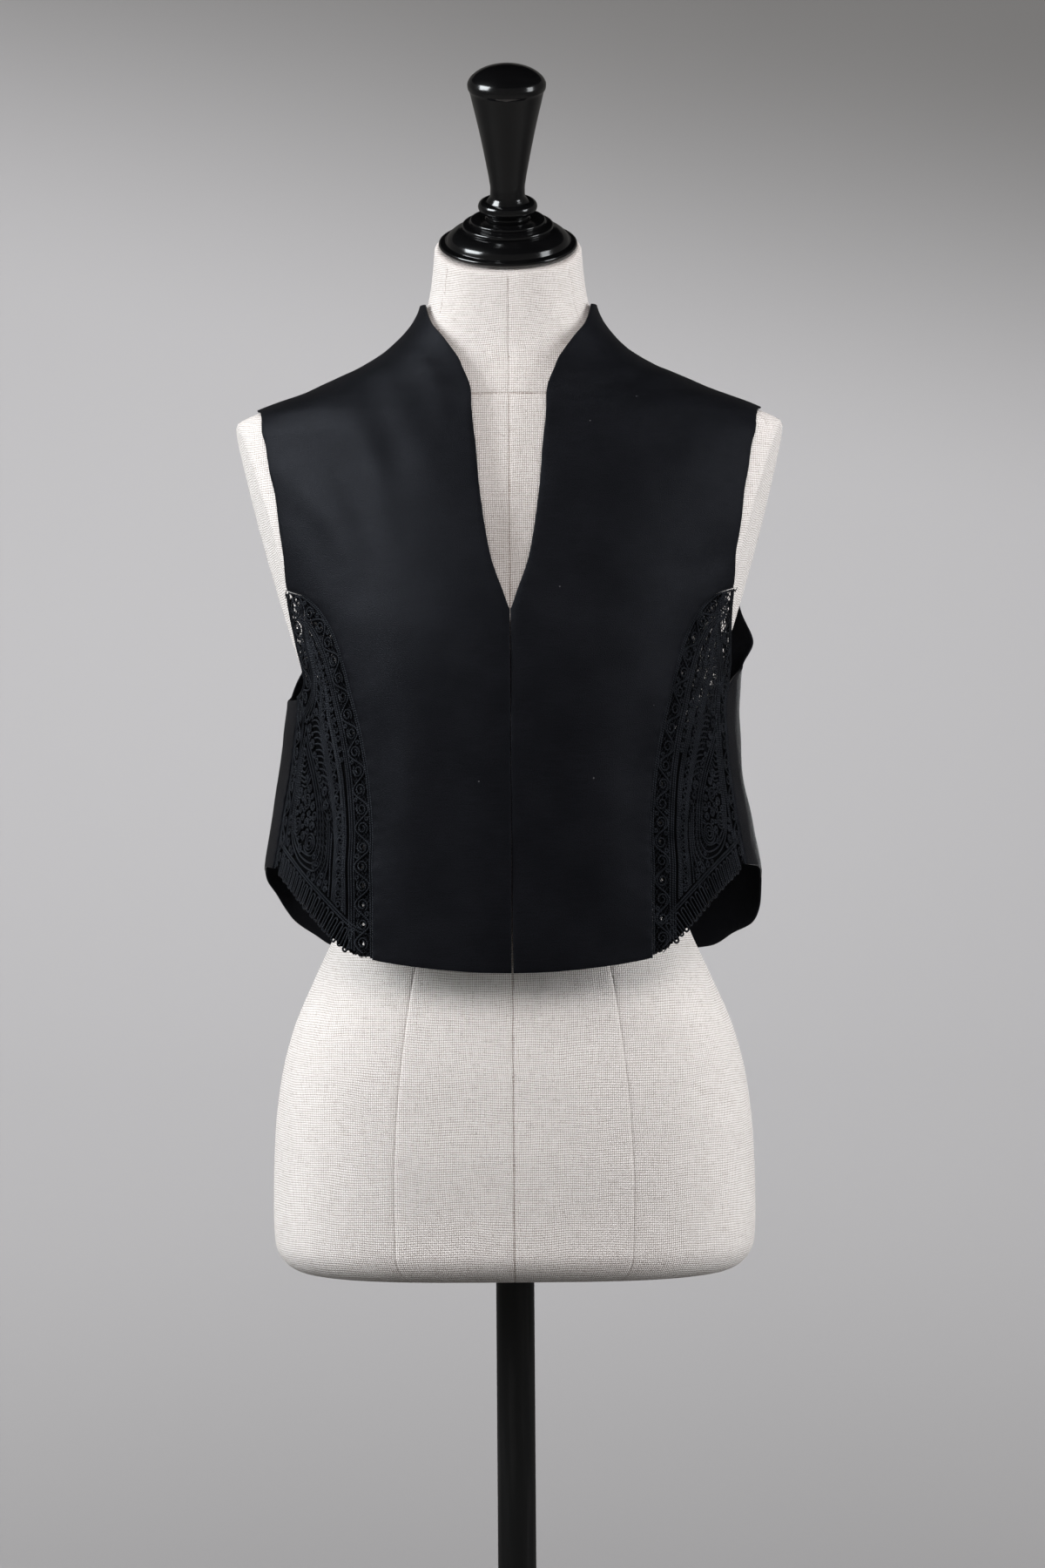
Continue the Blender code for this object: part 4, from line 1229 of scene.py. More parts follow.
@dataclass(frozen=True)
class Cut:
    """The vest's pattern. Lines on the front are rows of (distance from the centre front, height)."""

    centre_front: Rows = ((0.0006, 0.9739), (0.0003, 1.015), (0.0001, 1.06), (0.0001, 1.14), (0.0002, 1.217))
    neckline: Rows = (
        (0.0002, 1.217), (0.0045, 1.229), (0.013, 1.254), (0.02, 1.299), (0.0232, 1.335), (0.0255, 1.364),
        (0.0325, 1.388), (0.044, 1.406), (0.0545, 1.4205), (0.0585, 1.433),
    )
    princess: Rows = (
        (0.093, 0.9825), (0.0925, 1.02), (0.0915, 1.07), (0.0935, 1.105), (0.099, 1.14), (0.1065, 1.17), (0.117, 1.2),
        (0.129, 1.219), (0.14, 1.229), (0.1525, 1.2335),
    )
    front_armhole: Rows = (
        (0.1525, 1.2335), (0.1555, 1.26), (0.16, 1.292), (0.165, 1.317), (0.169, 1.338), (0.1712, 1.35),
        (0.1726, 1.359),
    )
    front_hem: Rows = (
        (0.0, 0.9739), (0.021, 0.9743), (0.0405, 0.9756), (0.0581, 0.9773), (0.0722, 0.9791), (0.083, 0.9807),
        (0.09, 0.9819), (0.093, 0.9825),
    )
    left: SideCut = SideCut(
        lace_armhole=(
            (0.1485, 1.16), (0.1508, 1.168), (0.152, 1.18), (0.1516, 1.19), (0.1513, 1.202), (0.1516, 1.22),
            (0.1526, 1.231),
        ),
        side_seam=(
            (0.162, 1.0435), (0.1575, 1.066), (0.154, 1.088), (0.1515, 1.105), (0.1495, 1.125), (0.1482, 1.143),
            (0.1485, 1.16),
        ),
        lace_hem=(
            (0.093, 0.9825), (0.1015, 0.985), (0.111, 0.992), (0.121, 1.003), (0.1346, 1.018), (0.145, 1.0285),
            (0.162, 1.0435),
        ),
        back_armhole=((0.164, 1.235), (0.1635, 1.27), (0.165, 1.305), (0.169, 1.338), (0.1712, 1.35), (0.1726, 1.359)),
        back_hem=(
            (66, 1.0435), (80, 1.04), (92, 1.029), (100, 1.011), (108, 0.9985), (120, 0.9905), (132, 0.98),
            (146, 0.9775), (180, 0.9775),
        ),
        underarm=((72, 1.173), (82, 1.18), (92, 1.185), (100, 1.1925), (106, 1.203)),
    )
    right: SideCut = SideCut(
        lace_armhole=(
            (0.147, 1.159), (0.1428, 1.165), (0.141, 1.1725), (0.1424, 1.18), (0.1457, 1.192), (0.1487, 1.2055),
            (0.1518, 1.222), (0.1528, 1.231),
        ),
        side_seam=(
            (0.1655, 1.0425), (0.1613, 1.066), (0.1573, 1.088), (0.1538, 1.105), (0.1508, 1.125), (0.1482, 1.143),
            (0.147, 1.159),
        ),
        lace_hem=(
            (0.093, 0.9825), (0.0985, 0.982), (0.105, 0.9833), (0.1122, 0.9867), (0.1183, 0.9911), (0.1244, 0.9972),
            (0.1307, 1.004), (0.137, 1.0108), (0.1434, 1.0175), (0.1539, 1.0293), (0.1655, 1.0425),
        ),
        back_armhole=((0.156, 1.235), (0.16, 1.27), (0.164, 1.305), (0.169, 1.338), (0.1712, 1.35), (0.1726, 1.359)),
        back_hem=(
            (66, 1.0435), (80, 1.043), (90, 1.0385), (99, 1.0305), (110, 1.021), (118, 1.011), (124, 1.001),
            (131, 0.991), (138, 0.981), (150, 0.9775), (180, 0.9775),
        ),
        underarm=((76, 1.159), (90, 1.163), (101, 1.169), (109, 1.176), (117, 1.187)),
    )
    shoulder_tip: float = 1.3645
    collar_side: float = 1.4345
    collar_back: float = 1.442
    seam_gap: float = 0.0003
    shoulder_turn: float = 0.14

    def of(self, side: Side) -> SideCut:
        """The lines of one side."""
        return self.left if side is Side.LEFT else self.right

    @staticmethod
    def on_front(rows: Rows, shift: float = 0.0) -> Array:
        """A front line as rows of (angle, height), moved to its right by shift."""
        line = moved_aside(np.array(rows), shift)
        return np.stack([VEST.angle_at(line[:, 0], line[:, 1]), line[:, 1]], -1)

    def shoulder(self, turn: float) -> Array:
        """The seam along the top of the shoulder and the side of the collar."""
        heights = np.linspace(self.shoulder_tip, self.collar_side, 5)
        return np.stack([np.full(5, 90.0 + turn), heights], -1)


def joined(*lines: Array) -> Array:
    """One closed outline made of lines that each start where the last one ended."""
    return np.concatenate([line[:-1] for line in lines])


def laid_flat(places: Array) -> Array:
    """Places of (angle, height) laid out flat for the drawing of a panel's faces."""
    half = VEST.columns[0]
    slant = np.concatenate([[0.0], np.cumsum(np.hypot(np.diff(VEST.heights), np.diff(half)))])
    return np.stack([FLAT_RADIUS * np.radians(places[:, 0]), smooth(VEST.heights, slant, places[:, 1])], -1)


def raised_flat(flat: Array) -> Array:
    """The places of (angle, height) that laid_flat() puts at these flat points."""
    heights = np.linspace(VEST.heights[0], VEST.heights[-1], 1200)
    slant = laid_flat(np.stack([np.zeros_like(heights), heights], -1))[:, 1]
    return np.stack([np.degrees(flat[:, 0] / FLAT_RADIUS), np.interp(flat[:, 1], slant, heights)], -1)


@dataclass
class ClothPanel:
    """One sewn panel of the outer cloth, as a thin shell with its creases."""

    name: str
    outline: Array
    sign: int
    creases: Sequence[Crease]
    puckered: Sequence[Array]
    flat: tuple[float, float]
    area: float
    spacing: float = 0.0031
    wall: float = 0.0015
    edge_round: float = 0.0005
    slow_waves: tuple[float, float] = (0.075, 0.0004)
    quick_waves: tuple[float, float] = (0.028, 0.0001)
    pucker_depth: float = 0.00022
    pucker_reach: float = 0.0055
    puckers: tuple[float, float] = (0.0105, 0.0237)
    seed: int = 3

    def build(self) -> Piece:
        """Fills the outline with small faces on the worn surface, and gives it its wall."""
        edge = laid_flat(self.outline)
        low, high = edge.min(0), edge.max(0)
        rise = self.spacing * math.sqrt(3) / 2
        rows = np.arange(low[1] + rise * 0.6, high[1], rise)
        across = np.arange(low[0], high[0] + self.spacing, self.spacing)
        grid = np.stack(np.meshgrid(across, rows), -1)
        grid[1::2, :, 0] += self.spacing / 2
        lattice = grid.reshape(-1, 2)
        lattice = lattice[inside(edge, lattice)]
        lattice = lattice[distance_to_line(edge, lattice, closed=True) > 0.62 * self.spacing]
        drawn = np.concatenate([edge, lattice])
        places = np.concatenate([self.outline, raised_flat(lattice)])
        corners = [Vector(row) for row in drawn.tolist()]
        _, _, faces, sources, _, _ = delaunay_2d_cdt(corners, [], [list(range(len(edge)))], 1, 1e-7)
        order = np.array([source[0] for source in sources])
        places, drawn = places[order], drawn[order]
        if self.sign < 0:
            faces = [face[::-1] for face in faces]
        flat = self._woven_place(places)[np.concatenate([np.asarray(face) for face in faces])]
        panel = walled(linked(self.name, mesh_from(self.name, self._worn(places, drawn), faces, flat)), self.wall)
        soft = panel.modifiers.new("edge", "BEVEL")
        soft.width = self.edge_round
        soft.segments = 2
        soft.limit_method = "ANGLE"
        soft.angle_limit = math.radians(50)
        soft.use_clamp_overlap = True
        panel = finished(baked(panel), SATIN, [self.name.removesuffix("_satin")], sharp=80)
        return panel

    def _worn(self, places: Array, drawn: Array) -> Array:
        """The panel's outer points, with its creases, puckers and slight unevenness."""
        angle, height = self.sign * places[:, 0], places[:, 1]
        points = VEST.points(angle, height)
        lift = uneven(points, *self.slow_waves, self.seed) + uneven(points, *self.quick_waves, self.seed + 1)
        for crease in self.creases:
            lift += crease.lift(points)
        short, long = (drawn[:, 1] * 2 * math.pi / length for length in self.puckers)
        wave = np.sin(short + 1.7 * np.sin(drawn[:, 1] * 61)) + 0.5 * np.sin(long)
        for seam in self.puckered:
            off = distance_to_line(laid_flat(seam), drawn)
            lift += self.pucker_depth * wave * np.exp(-((off / self.pucker_reach) ** 2))
        return points + lift[:, None] * VEST.normals(angle, height)

    def _woven_place(self, places: Array) -> Array:
        """Where each point lies in the flat cloth, in metres."""
        angle, height = places[:, 0], places[:, 1]
        total = VEST.way_round(np.full_like(angle, 180.0), height)
        beyond = angle > 180
        way = VEST.way_round(np.where(beyond, 360 - angle, angle), height)
        way = np.where(beyond, 2 * total - way, way)
        return np.stack([self.sign * way, laid_flat(places)[:, 1]], -1)


@dataclass
class Vest:
    """The three satin panels and the two lace sides."""

    cut: Cut
    step: float = 0.0025
    front_creases: Sequence[Crease] = (
        Crease(((-0.076, 1.405), (-0.06, 1.392), (-0.049, 1.372), (-0.044, 1.345)), 0.0075, 0.0009),
        Crease(((-0.09, 1.384), (-0.08, 1.372), (-0.072, 1.36)), 0.0088, 0.0007),
        Crease(((-0.103, 1.38), (-0.092, 1.358), (-0.08, 1.335), (-0.072, 1.31)), 0.0106, -0.0008),
        Crease(((-0.118, 1.356), (-0.1, 1.337), (-0.09, 1.312), (-0.082, 1.28)), 0.01, 0.001),
        Crease(((-0.16, 1.318), (-0.136, 1.294), (-0.119, 1.277), (-0.108, 1.247)), 0.0125, 0.0012),
        Crease(((-0.15, 1.29), (-0.13, 1.268), (-0.118, 1.24)), 0.0112, -0.001),
        Crease(((-0.14, 1.345), (-0.12, 1.322), (-0.104, 1.292), (-0.094, 1.255)), 0.0119, -0.001),
        Crease(((-0.062, 1.345), (-0.058, 1.31), (-0.056, 1.27)), 0.015, 0.0005),
        Crease(((-0.09, 1.145), (-0.084, 1.11), (-0.083, 1.075)), 0.008, -0.0012),
        Crease(((-0.072, 1.15), (-0.068, 1.1), (-0.07, 1.04)), 0.015, 0.0013),
        Crease(((-0.041, 1.12), (-0.04, 1.07), (-0.037, 1.02)), 0.022, -0.0019),
        Crease(((-0.018, 1.19), (-0.017, 1.1), (-0.016, 1.01)), 0.016, 0.001),
        Crease(((0.1, 1.392), (0.089, 1.38), (0.077, 1.373)), 0.007, -0.0012),
        Crease(((0.04, 1.345), (0.058, 1.357), (0.078, 1.367)), 0.0085, 0.001),
        Crease(((0.095, 1.3), (0.122, 1.318), (0.15, 1.336)), 0.013, 0.0012),
        Crease(((0.06, 1.3), (0.085, 1.325), (0.115, 1.342)), 0.011, -0.001),
        Crease(((0.152, 1.262), (0.128, 1.246), (0.105, 1.244)), 0.008, -0.0011),
        Crease(((0.088, 1.15), (0.083, 1.1), (0.084, 1.03)), 0.012, -0.0011),
        Crease(((0.06, 1.15), (0.063, 1.09), (0.06, 1.02)), 0.017, 0.0014),
        Crease(((0.022, 1.18), (0.024, 1.09), (0.02, 1.01)), 0.018, -0.001),
    )
    back_creases: Sequence[Crease] = (
        Crease(((0.155, 1.262), (0.12, 1.24), (0.07, 1.232)), 0.01, -0.0022),
        Crease(((0.15, 1.3), (0.115, 1.268), (0.075, 1.25)), 0.012, 0.0018),
        Crease(((-0.155, 1.27), (-0.118, 1.246), (-0.06, 1.228)), 0.011, -0.0022),
        Crease(((-0.15, 1.24), (-0.12, 1.205), (-0.09, 1.15)), 0.012, 0.002),
        Crease(((0.07, 1.385), (0.092, 1.345), (0.102, 1.3)), 0.01, 0.0012),
        Crease(((-0.085, 1.38), (-0.1, 1.34), (-0.105, 1.29)), 0.011, 0.0012),
        Crease(((-0.03, 1.41), (-0.046, 1.375), (-0.052, 1.335)), 0.008, -0.001),
        Crease(((0.026, 1.405), (0.04, 1.37), (0.045, 1.33)), 0.009, -0.001),
        Crease(((0.03, 1.215), (0.036, 1.11), (0.052, 0.99)), 0.014, 0.0034),
        Crease(((-0.046, 1.225), (-0.05, 1.12), (-0.063, 0.99)), 0.013, 0.003),
        Crease(((-0.004, 1.18), (-0.008, 1.08), (-0.006, 0.99)), 0.016, -0.0028),
        Crease(((0.092, 1.165), (0.1, 1.08), (0.113, 0.995)), 0.015, -0.003),
        Crease(((-0.104, 1.15), (-0.114, 1.07), (-0.128, 1.0)), 0.014, -0.0032),
        Crease(((0.132, 1.12), (0.142, 1.06), (0.15, 1.015)), 0.011, 0.0022),
        Crease(((-0.14, 1.13), (-0.148, 1.08), (-0.156, 1.03)), 0.011, 0.002),
    )

    def _line(self, side: Side, *parts: Array) -> Array:
        """Parts of a line, as rows of (angle, height), joined and read smoothly and evenly as they lie on the vest.

        Args:
            side: whose side of the vest.
            parts: each of them rows, in the line's order.

        Returns:
            Rows of (angle, height).
        """
        line = dense(np.concatenate(parts))
        along = lengths_along(VEST.points(side.value * line[:, 0], line[:, 1]))
        return read_along(line, along, np.linspace(0, along[-1], max(2, round(along[-1] / self.step)) + 1))

    def build(self) -> list[Piece]:
        """Builds every panel of the vest."""
        satin = [*(self.front(side) for side in Side), self.back()]
        return satin + [piece for side in Side for piece in LaceSide(self.cut, side).build()]

    def front(self, side: Side) -> Piece:
        """One front with its half of the collar: hem, seam, armhole, shoulder and opening."""
        cut, sign = self.cut, side.value
        shoulder = self._line(side, cut.shoulder(-cut.shoulder_turn))
        armhole = self._line(side, cut.on_front(cut.front_armhole), shoulder[:1])
        princess = self._line(side, cut.on_front(cut.princess, -cut.seam_gap / 2))
        centre = self._line(side, cut.on_front(cut.centre_front))
        neckline = self._line(side, centre[-1:], cut.on_front(cut.neckline)[1:])
        collar = self._line(side, shoulder[-1:], neckline[-1:])
        hem = self._line(side, centre[:1], cut.on_front(cut.front_hem)[1:-1], princess[:1])
        armhole[0] = princess[-1]
        outline = joined(hem, princess, armhole, shoulder, collar, neckline[::-1], centre[::-1])
        creases = [crease for crease in self.front_creases if crease.line[0][0] * sign > 0]
        name, size = f"front_{side.word}_satin", {"flat": (0.195, 0.47), "area": 0.058}
        return ClothPanel(name, outline, sign, creases, [princess], **size, seed=11 + sign).build()

    def back(self) -> Piece:
        """The back in one piece, from side seam to side seam, with its half of the collar."""
        cut, edges, seams = self.cut, {}, []
        for side in Side:
            own = cut.of(side)
            seam = self._line(side, cut.on_front(own.side_seam, cut.seam_gap / 2))
            shoulder = self._line(side, cut.shoulder(cut.shoulder_turn))
            upper = cut.on_front(own.back_armhole)
            upper[:, 0] = 180.0 - upper[:, 0]
            armhole = self._line(side, seam[-1:], own.underarm, upper, shoulder[:1])
            collar = self._line(side, shoulder[-1:], [(180.0, cut.collar_back)])
            hem = self._line(side, seam[:1], own.back_hem[1:])
            edges[side] = np.concatenate([joined(hem[::-1], seam, armhole, shoulder, collar), collar[-1:]])
            seams.append(seam if side is Side.LEFT else np.stack([360 - seam[:, 0], seam[:, 1]], -1))
        mirrored = np.stack([360.0 - edges[Side.RIGHT][:, 0], edges[Side.RIGHT][:, 1]], -1)
        outline = np.concatenate([edges[Side.LEFT][::-1], mirrored[1:-1]])
        size = {"flat": (0.61, 0.47), "area": 0.1955, "spacing": 0.0036}
        return ClothPanel("back_satin", outline, +1, self.back_creases, seams, **size, seed=23).build()


# ---- trees of geometry nodes --------------------------------------------------------------------


def new_tree(name: str, **inputs: float) -> NodeSketch:
    """Starts a geometry tree that takes and gives a geometry.

    Args:
        name: the tree's name.
        inputs: the usual value of each size, with whole numbers for counts.

    Returns:
        A sketch of the tree.
    """
    tree = bpy.data.node_groups.new(name, "GeometryNodeTree")
    tree.interface.new_socket("Geometry", in_out="INPUT", socket_type="NodeSocketGeometry")
    for label, value in inputs.items():
        kind = "NodeSocketInt" if isinstance(value, int) else "NodeSocketFloat"
        socket = tree.interface.new_socket(label.replace("_", " "), in_out="INPUT", socket_type=kind)
        socket.default_value = value
    tree.interface.new_socket("Geometry", in_out="OUTPUT", socket_type="NodeSocketGeometry")
    return NodeSketch(tree)


def grown(obj: Piece, tree: Tree, **sizes: float) -> Piece:
    """Runs a tree on an object and keeps its result as a plain mesh.

    Args:
        obj: the object that gives the tree its lines or points.
        tree: the geometry tree.
        sizes: the tree's inputs by name.

    Returns:
        The object with the tree's mesh.
    """
    modifier = obj.modifiers.new(tree.name, "NODES")
    modifier.node_group = tree
    sockets = {item.name: item.identifier for item in tree.interface.items_tree if item.in_out == "INPUT"}
    for label, value in sizes.items():
        modifier[sockets[label.replace("_", " ")]] = value
    return baked(obj)


def marked(sketch: NodeSketch, curve: Socket, label: str, read: str) -> tuple[Socket, Socket]:
    """A curve that keeps, for each point, its length or its share of the way, and that value.

    Args:
        sketch: the tree.
        curve: the curve.
        label: the value's name.
        read: the Spline Parameter's output that it holds.

    Returns:
        The curve and the value.
    """
    node = sketch.add("GeometryNodeCaptureAttribute", {0: curve}, domain="POINT")
    node.capture_items.new("FLOAT", label)
    sketch.tree.links.new(sketch.add("GeometryNodeSplineParameter").outputs[read], node.inputs[label])
    return node.outputs[0], node.outputs[label]


def swept(sketch: NodeSketch, curve: Socket, radius: Socket, sides: Socket | int = 6) -> Socket:
    """Sweeps a round section along a curve, with the length and the way round as its UV map.

    Args:
        sketch: the tree.
        curve: the cord's middle line.
        radius: the cord's radius.
        sides: how many faces go round it.

    Returns:
        The cord's mesh.
    """
    line, length = marked(sketch, curve, "Length", "Length")
    circle = sketch.add("GeometryNodeCurvePrimitiveCircle", {"Resolution": sides, "Radius": radius}).outputs[0]
    section, turn = marked(sketch, circle, "Turn", "Factor")
    tube = sketch.add("GeometryNodeCurveToMesh", {0: line, 1: section, "Fill Caps": True}).outputs[0]
    flat = sketch.add("ShaderNodeCombineXYZ", {0: length, 1: turn}).outputs[0]
    stored = {0: tube, "Name": UV_NAME, "Value": flat}
    return sketch.add("GeometryNodeStoreNamedAttribute", stored, data_type="FLOAT2", domain="CORNER").outputs[0]


def close_tree(sketch: NodeSketch, geometry: Socket) -> Tree:
    """Ends a tree of cords: instances made real, and the material set."""
    real = sketch.add("GeometryNodeRealizeInstances", {0: geometry}).outputs[0]
    dressed = sketch.add("GeometryNodeSetMaterial", {0: real, "Material": CORD.material()}).outputs[0]
    sketch.add("NodeGroupOutput", {0: dressed})
    return sketch.tree


def attribute(sketch: NodeSketch, name: str, kind: str = "FLOAT") -> Socket:
    """A point attribute of the tree's own lines or points."""
    return sketch.add("GeometryNodeInputNamedAttribute", {"Name": name}, data_type=kind).outputs[0]


def on_points(sketch: NodeSketch, points: Socket, shape: Socket) -> Socket:
    """Puts a shape on each point, turned by its 'outward' and 'along' and sized by its 'size'.

    Args:
        sketch: the tree.
        points: a mesh of points with the three attributes.
        shape: what stands on each of them.

    Returns:
        The instances.
    """
    dots = sketch.add("GeometryNodeMeshToPoints", {0: points}).outputs[0]
    axes = {k: attribute(sketch, name, "FLOAT_VECTOR") for k, name in enumerate(("outward", "along"))}
    turn = sketch.add("FunctionNodeAxesToRotation", axes, primary_axis="Z", secondary_axis="X").outputs[0]
    placed = {0: dots, "Instance": shape, "Rotation": turn, "Scale": attribute(sketch, "size")}
    return sketch.add("GeometryNodeInstanceOnPoints", placed).outputs[0]


@cache
def cord_tree() -> Tree:
    """Cords along the lines of a mesh; the attribute 'thickness' makes each thicker or thinner."""
    sketch = new_tree("cords_along_lines", Cord_Radius=0.001, Sides=6)
    taken = sketch.add("NodeGroupInput").outputs
    lines = sketch.add("GeometryNodeMeshToCurve", {0: taken["Geometry"]}).outputs[0]
    sizes = {0: lines, "Radius": attribute(sketch, "thickness")}
    sized = sketch.add("GeometryNodeSetCurveRadius", sizes).outputs[0]
    return close_tree(sketch, swept(sketch, sized, taken["Cord Radius"], taken["Sides"]))


@cache
def rosette_tree() -> Tree:
    """A coiled rosette of cord on each point."""
    sizes = {"Inner_Radius": 0.0014, "Outer_Radius": 0.0042, "Turns": 1.9, "Steps": 15}
    sketch = new_tree("rosettes_on_points", Cord_Radius=0.0009, **sizes)
    taken = sketch.add("NodeGroupInput").outputs
    reach = {"Start Radius": taken["Inner Radius"], "End Radius": taken["Outer Radius"], "Height": 0.0}
    coil = {"Resolution": taken["Steps"], "Rotations": taken["Turns"], **reach}
    shape = swept(sketch, sketch.add("GeometryNodeCurveSpiral", coil).outputs[0], taken["Cord Radius"])
    return close_tree(sketch, on_points(sketch, taken["Geometry"], shape))


@cache
def hem_loop_tree() -> Tree:
    """A long, round-ended loop of cord on each point, lengthwise along its X."""
    sketch = new_tree("hem_loops_on_points", Cord_Radius=0.001, Length=0.0155, Width=0.0036)
    taken = sketch.add("NodeGroupInput").outputs
    frame = sketch.add("GeometryNodeCurvePrimitiveQuadrilateral", {0: taken["Length"], 1: taken["Width"]}).outputs[0]
    corners = {0: frame, "Radius": sketch.times(taken["Width"], 0.495), "Count": 5}
    shape = swept(sketch, sketch.add("GeometryNodeFilletCurve", corners, mode="POLY").outputs[0], taken["Cord Radius"])
    return close_tree(sketch, on_points(sketch, taken["Geometry"], shape))


# ---- the lace sides -----------------------------------------------------------------------------


def spiral(middle: Array, turn: Array, reach: Array) -> Array:
    """The points round a middle at these turns and reaches."""
    return middle + np.stack([reach * np.cos(turn), reach * np.sin(turn)], -1)


@dataclass(frozen=True)
class Strand:
    """One cord of the lace, as rows of (way round, height) on the vest."""

    line: Array
    thickness: float = 1.0
    lift: float = 0.0


@dataclass
class LaceSide:
    """One lace side: a ground of crossed threads, corded scrolls, rosette borders and a looped hem.

    The field inside the borders has its own places: (share of the way from the front border to the side border, share
    of the way up). A guide is a smooth line through rows of them.
    """

    cut: Cut
    side: Side
    wall: float = 0.002
    top: float = 1.2055
    step: float = 0.0012
    curve_step: float = 0.0014
    cord_radius: float = 0.00074
    cord_pitch: float = 0.0021
    thread_radius: float = 0.0003
    net_pitch: float = 0.0026
    net_slant: float = 52.0
    backing_pitch: float = 0.0015
    backing_wall: float = 0.00045
    backing_cell: float = 0.0024
    rosette_pitch: float = 0.0129
    rosette_reach: float = 0.0043
    rosette_hole: float = 0.0014
    border_middle: float = 0.0078
    border_inner: float = 0.0146
    side_middle: float = 0.0072
    side_inner: float = 0.0134
    hem_pitch: float = 0.0055
    hem_length: float = 0.0152
    hem_middle: float = 0.0086
    hem_inner: float = 0.0181
    chain_pitch: float = 0.0072
    chain_swing: float = 0.0031
    fill_room: float = 0.0018
    fill_reach: float = 0.004
    fill_grid: float = 0.0009
    fill_thickness: float = 0.74
    most_strands: int = 400
    edge_room: float = 0.004
    # How far inside each border the field starts: at the front, the side and the hem.
    field_room: tuple[float, float, float] = (0.006, 0.0036, 0.0042)
    ground_room: float = 0.0009
    ground_hem_room: float = 0.0014
    net_step: float = 0.0018
    net_room: float = 0.0012
    least_rosette_room: float = 0.0042
    full_rosette_room: float = 0.0062

    def __post_init__(self) -> None:
        """Lays the panel's edges out as rows of (way round, height)."""
        cut, own = self.cut, self.cut.of(self.side)
        rear = np.concatenate([cut.on_front(own.side_seam, -0.0002), cut.on_front(own.lace_armhole)[1:]])
        self.front = self._laid(cut.on_front(cut.princess, 0.0004))
        self.rear = self._laid(rear)
        self.hem = self._laid(cut.on_front(own.lace_hem))
        self.edges = (self.front, self.rear, self.hem)
        self.outline = np.concatenate([self.hem, self.rear[1:], self.front[::-1][1:-1]])

    def _laid(self, rows: Array) -> Array:
        """Rows of (angle, height) read finely as (way round, height)."""
        line = dense(rows, 16)
        return evenly(np.stack([VEST.way_round(line[:, 0], line[:, 1]), line[:, 1]], -1), self.step)

    def beside(self, edge: Array, depth: float) -> Array:
        """A line that runs depth inside one of the panel's edges, where it is clear of the others.

        Args:
            edge: one of the panel's own edges.
            depth: metres inside it.

        Returns:
            Rows of (way round, height).
        """
        line = evenly(moved_aside(edge, depth if edge is self.front else -depth), self.step)
        clear = inside(self.outline, line)
        for other in self.edges:
            if other is not edge:
                clear &= distance_to_line(other, line) > min(depth * 0.8, self.edge_room)
        kept = np.flatnonzero(clear)
        return line[kept[0] : kept[-1] + 1] if len(kept) > 2 else line[:2]

    def borders(self) -> list[tuple[Array, float, float, float]]:
        """Each border's middle line, its rosettes' pitch and size, and the swing of the cord round them."""
        return [
            (self.beside(self.front, self.border_middle), self.rosette_pitch, 1.0, 0.0058),
            (self.beside(self.rear, self.side_middle), self.rosette_pitch * 0.96, 0.94, 0.0053),
        ]

    def raised(self, flat: Array, lift: float) -> tuple[Array, Array]:
        """Points of the flat lace as worn, at a lift over the middle of its thickness.

        Args:
            flat: rows of (way round, height).
            lift: metres outwards from the middle of the lace.

        Returns:
            The points and the outward directions.
        """
        angle = self.side.value * VEST.angle_of(flat[:, 0], flat[:, 1])
        normals = VEST.normals(angle, flat[:, 1])
        return VEST.points(angle, flat[:, 1]) + (lift - self.wall / 2) * normals, normals

    def field(self, rows: Array) -> Array:
        """Turns places of the field into (way round, height).

        Args:
            rows: the places, as the class says.

        Returns:
            The same places on the lace.
        """
        inner = np.add((self.border_inner, self.side_inner, self.hem_inner), self.field_room)
        front, rear, foot = (self.beside(edge, float(depth)) for edge, depth in zip(self.edges, inner))

        def ends(height: Array) -> tuple[Array, Array]:
            """Where the field starts and how wide it is at a height."""
            left = np.interp(height, front[:, 1], front[:, 0])
            return left, np.interp(height, rear[:, 1], rear[:, 0]) - left

        left, width = ends(foot[:, 1])
        share = (foot[:, 0] - left) / np.maximum(width, 1e-4)
        order = np.argsort(share)
        low = np.interp(rows[:, 0], share[order], foot[order, 1])
        height = low + (self.top - low) * rows[:, 1]
        left, width = ends(height)
        return np.stack([left + width * rows[:, 0], height], -1)

    @staticmethod
    def _guide(rows: Rows, steps: int = 60) -> Array:
        """A guide as evenly spaced points."""
        line = dense(np.array(rows), 12)
        along = lengths_along(line)
        return read_along(line, along, np.linspace(0, along[-1], steps))

    def bundle(self, first: Rows, last: Rows, count: int, thickness: float) -> list[Strand]:
        """Cords that sweep side by side from one guide to another.

        Args:
            first: the guide of the first cord.
            last: the guide of the last one.
            count: how many cords there are.
            thickness: their share of the usual thickness.

        Returns:
            The cords.
        """
        a, b = self._guide(first), self._guide(last)
        lines = [self.field(a + (b - a) * (k / (count - 1))) for k in range(count)]
        return [Strand(evenly(line, self.curve_step), thickness) for line in lines]

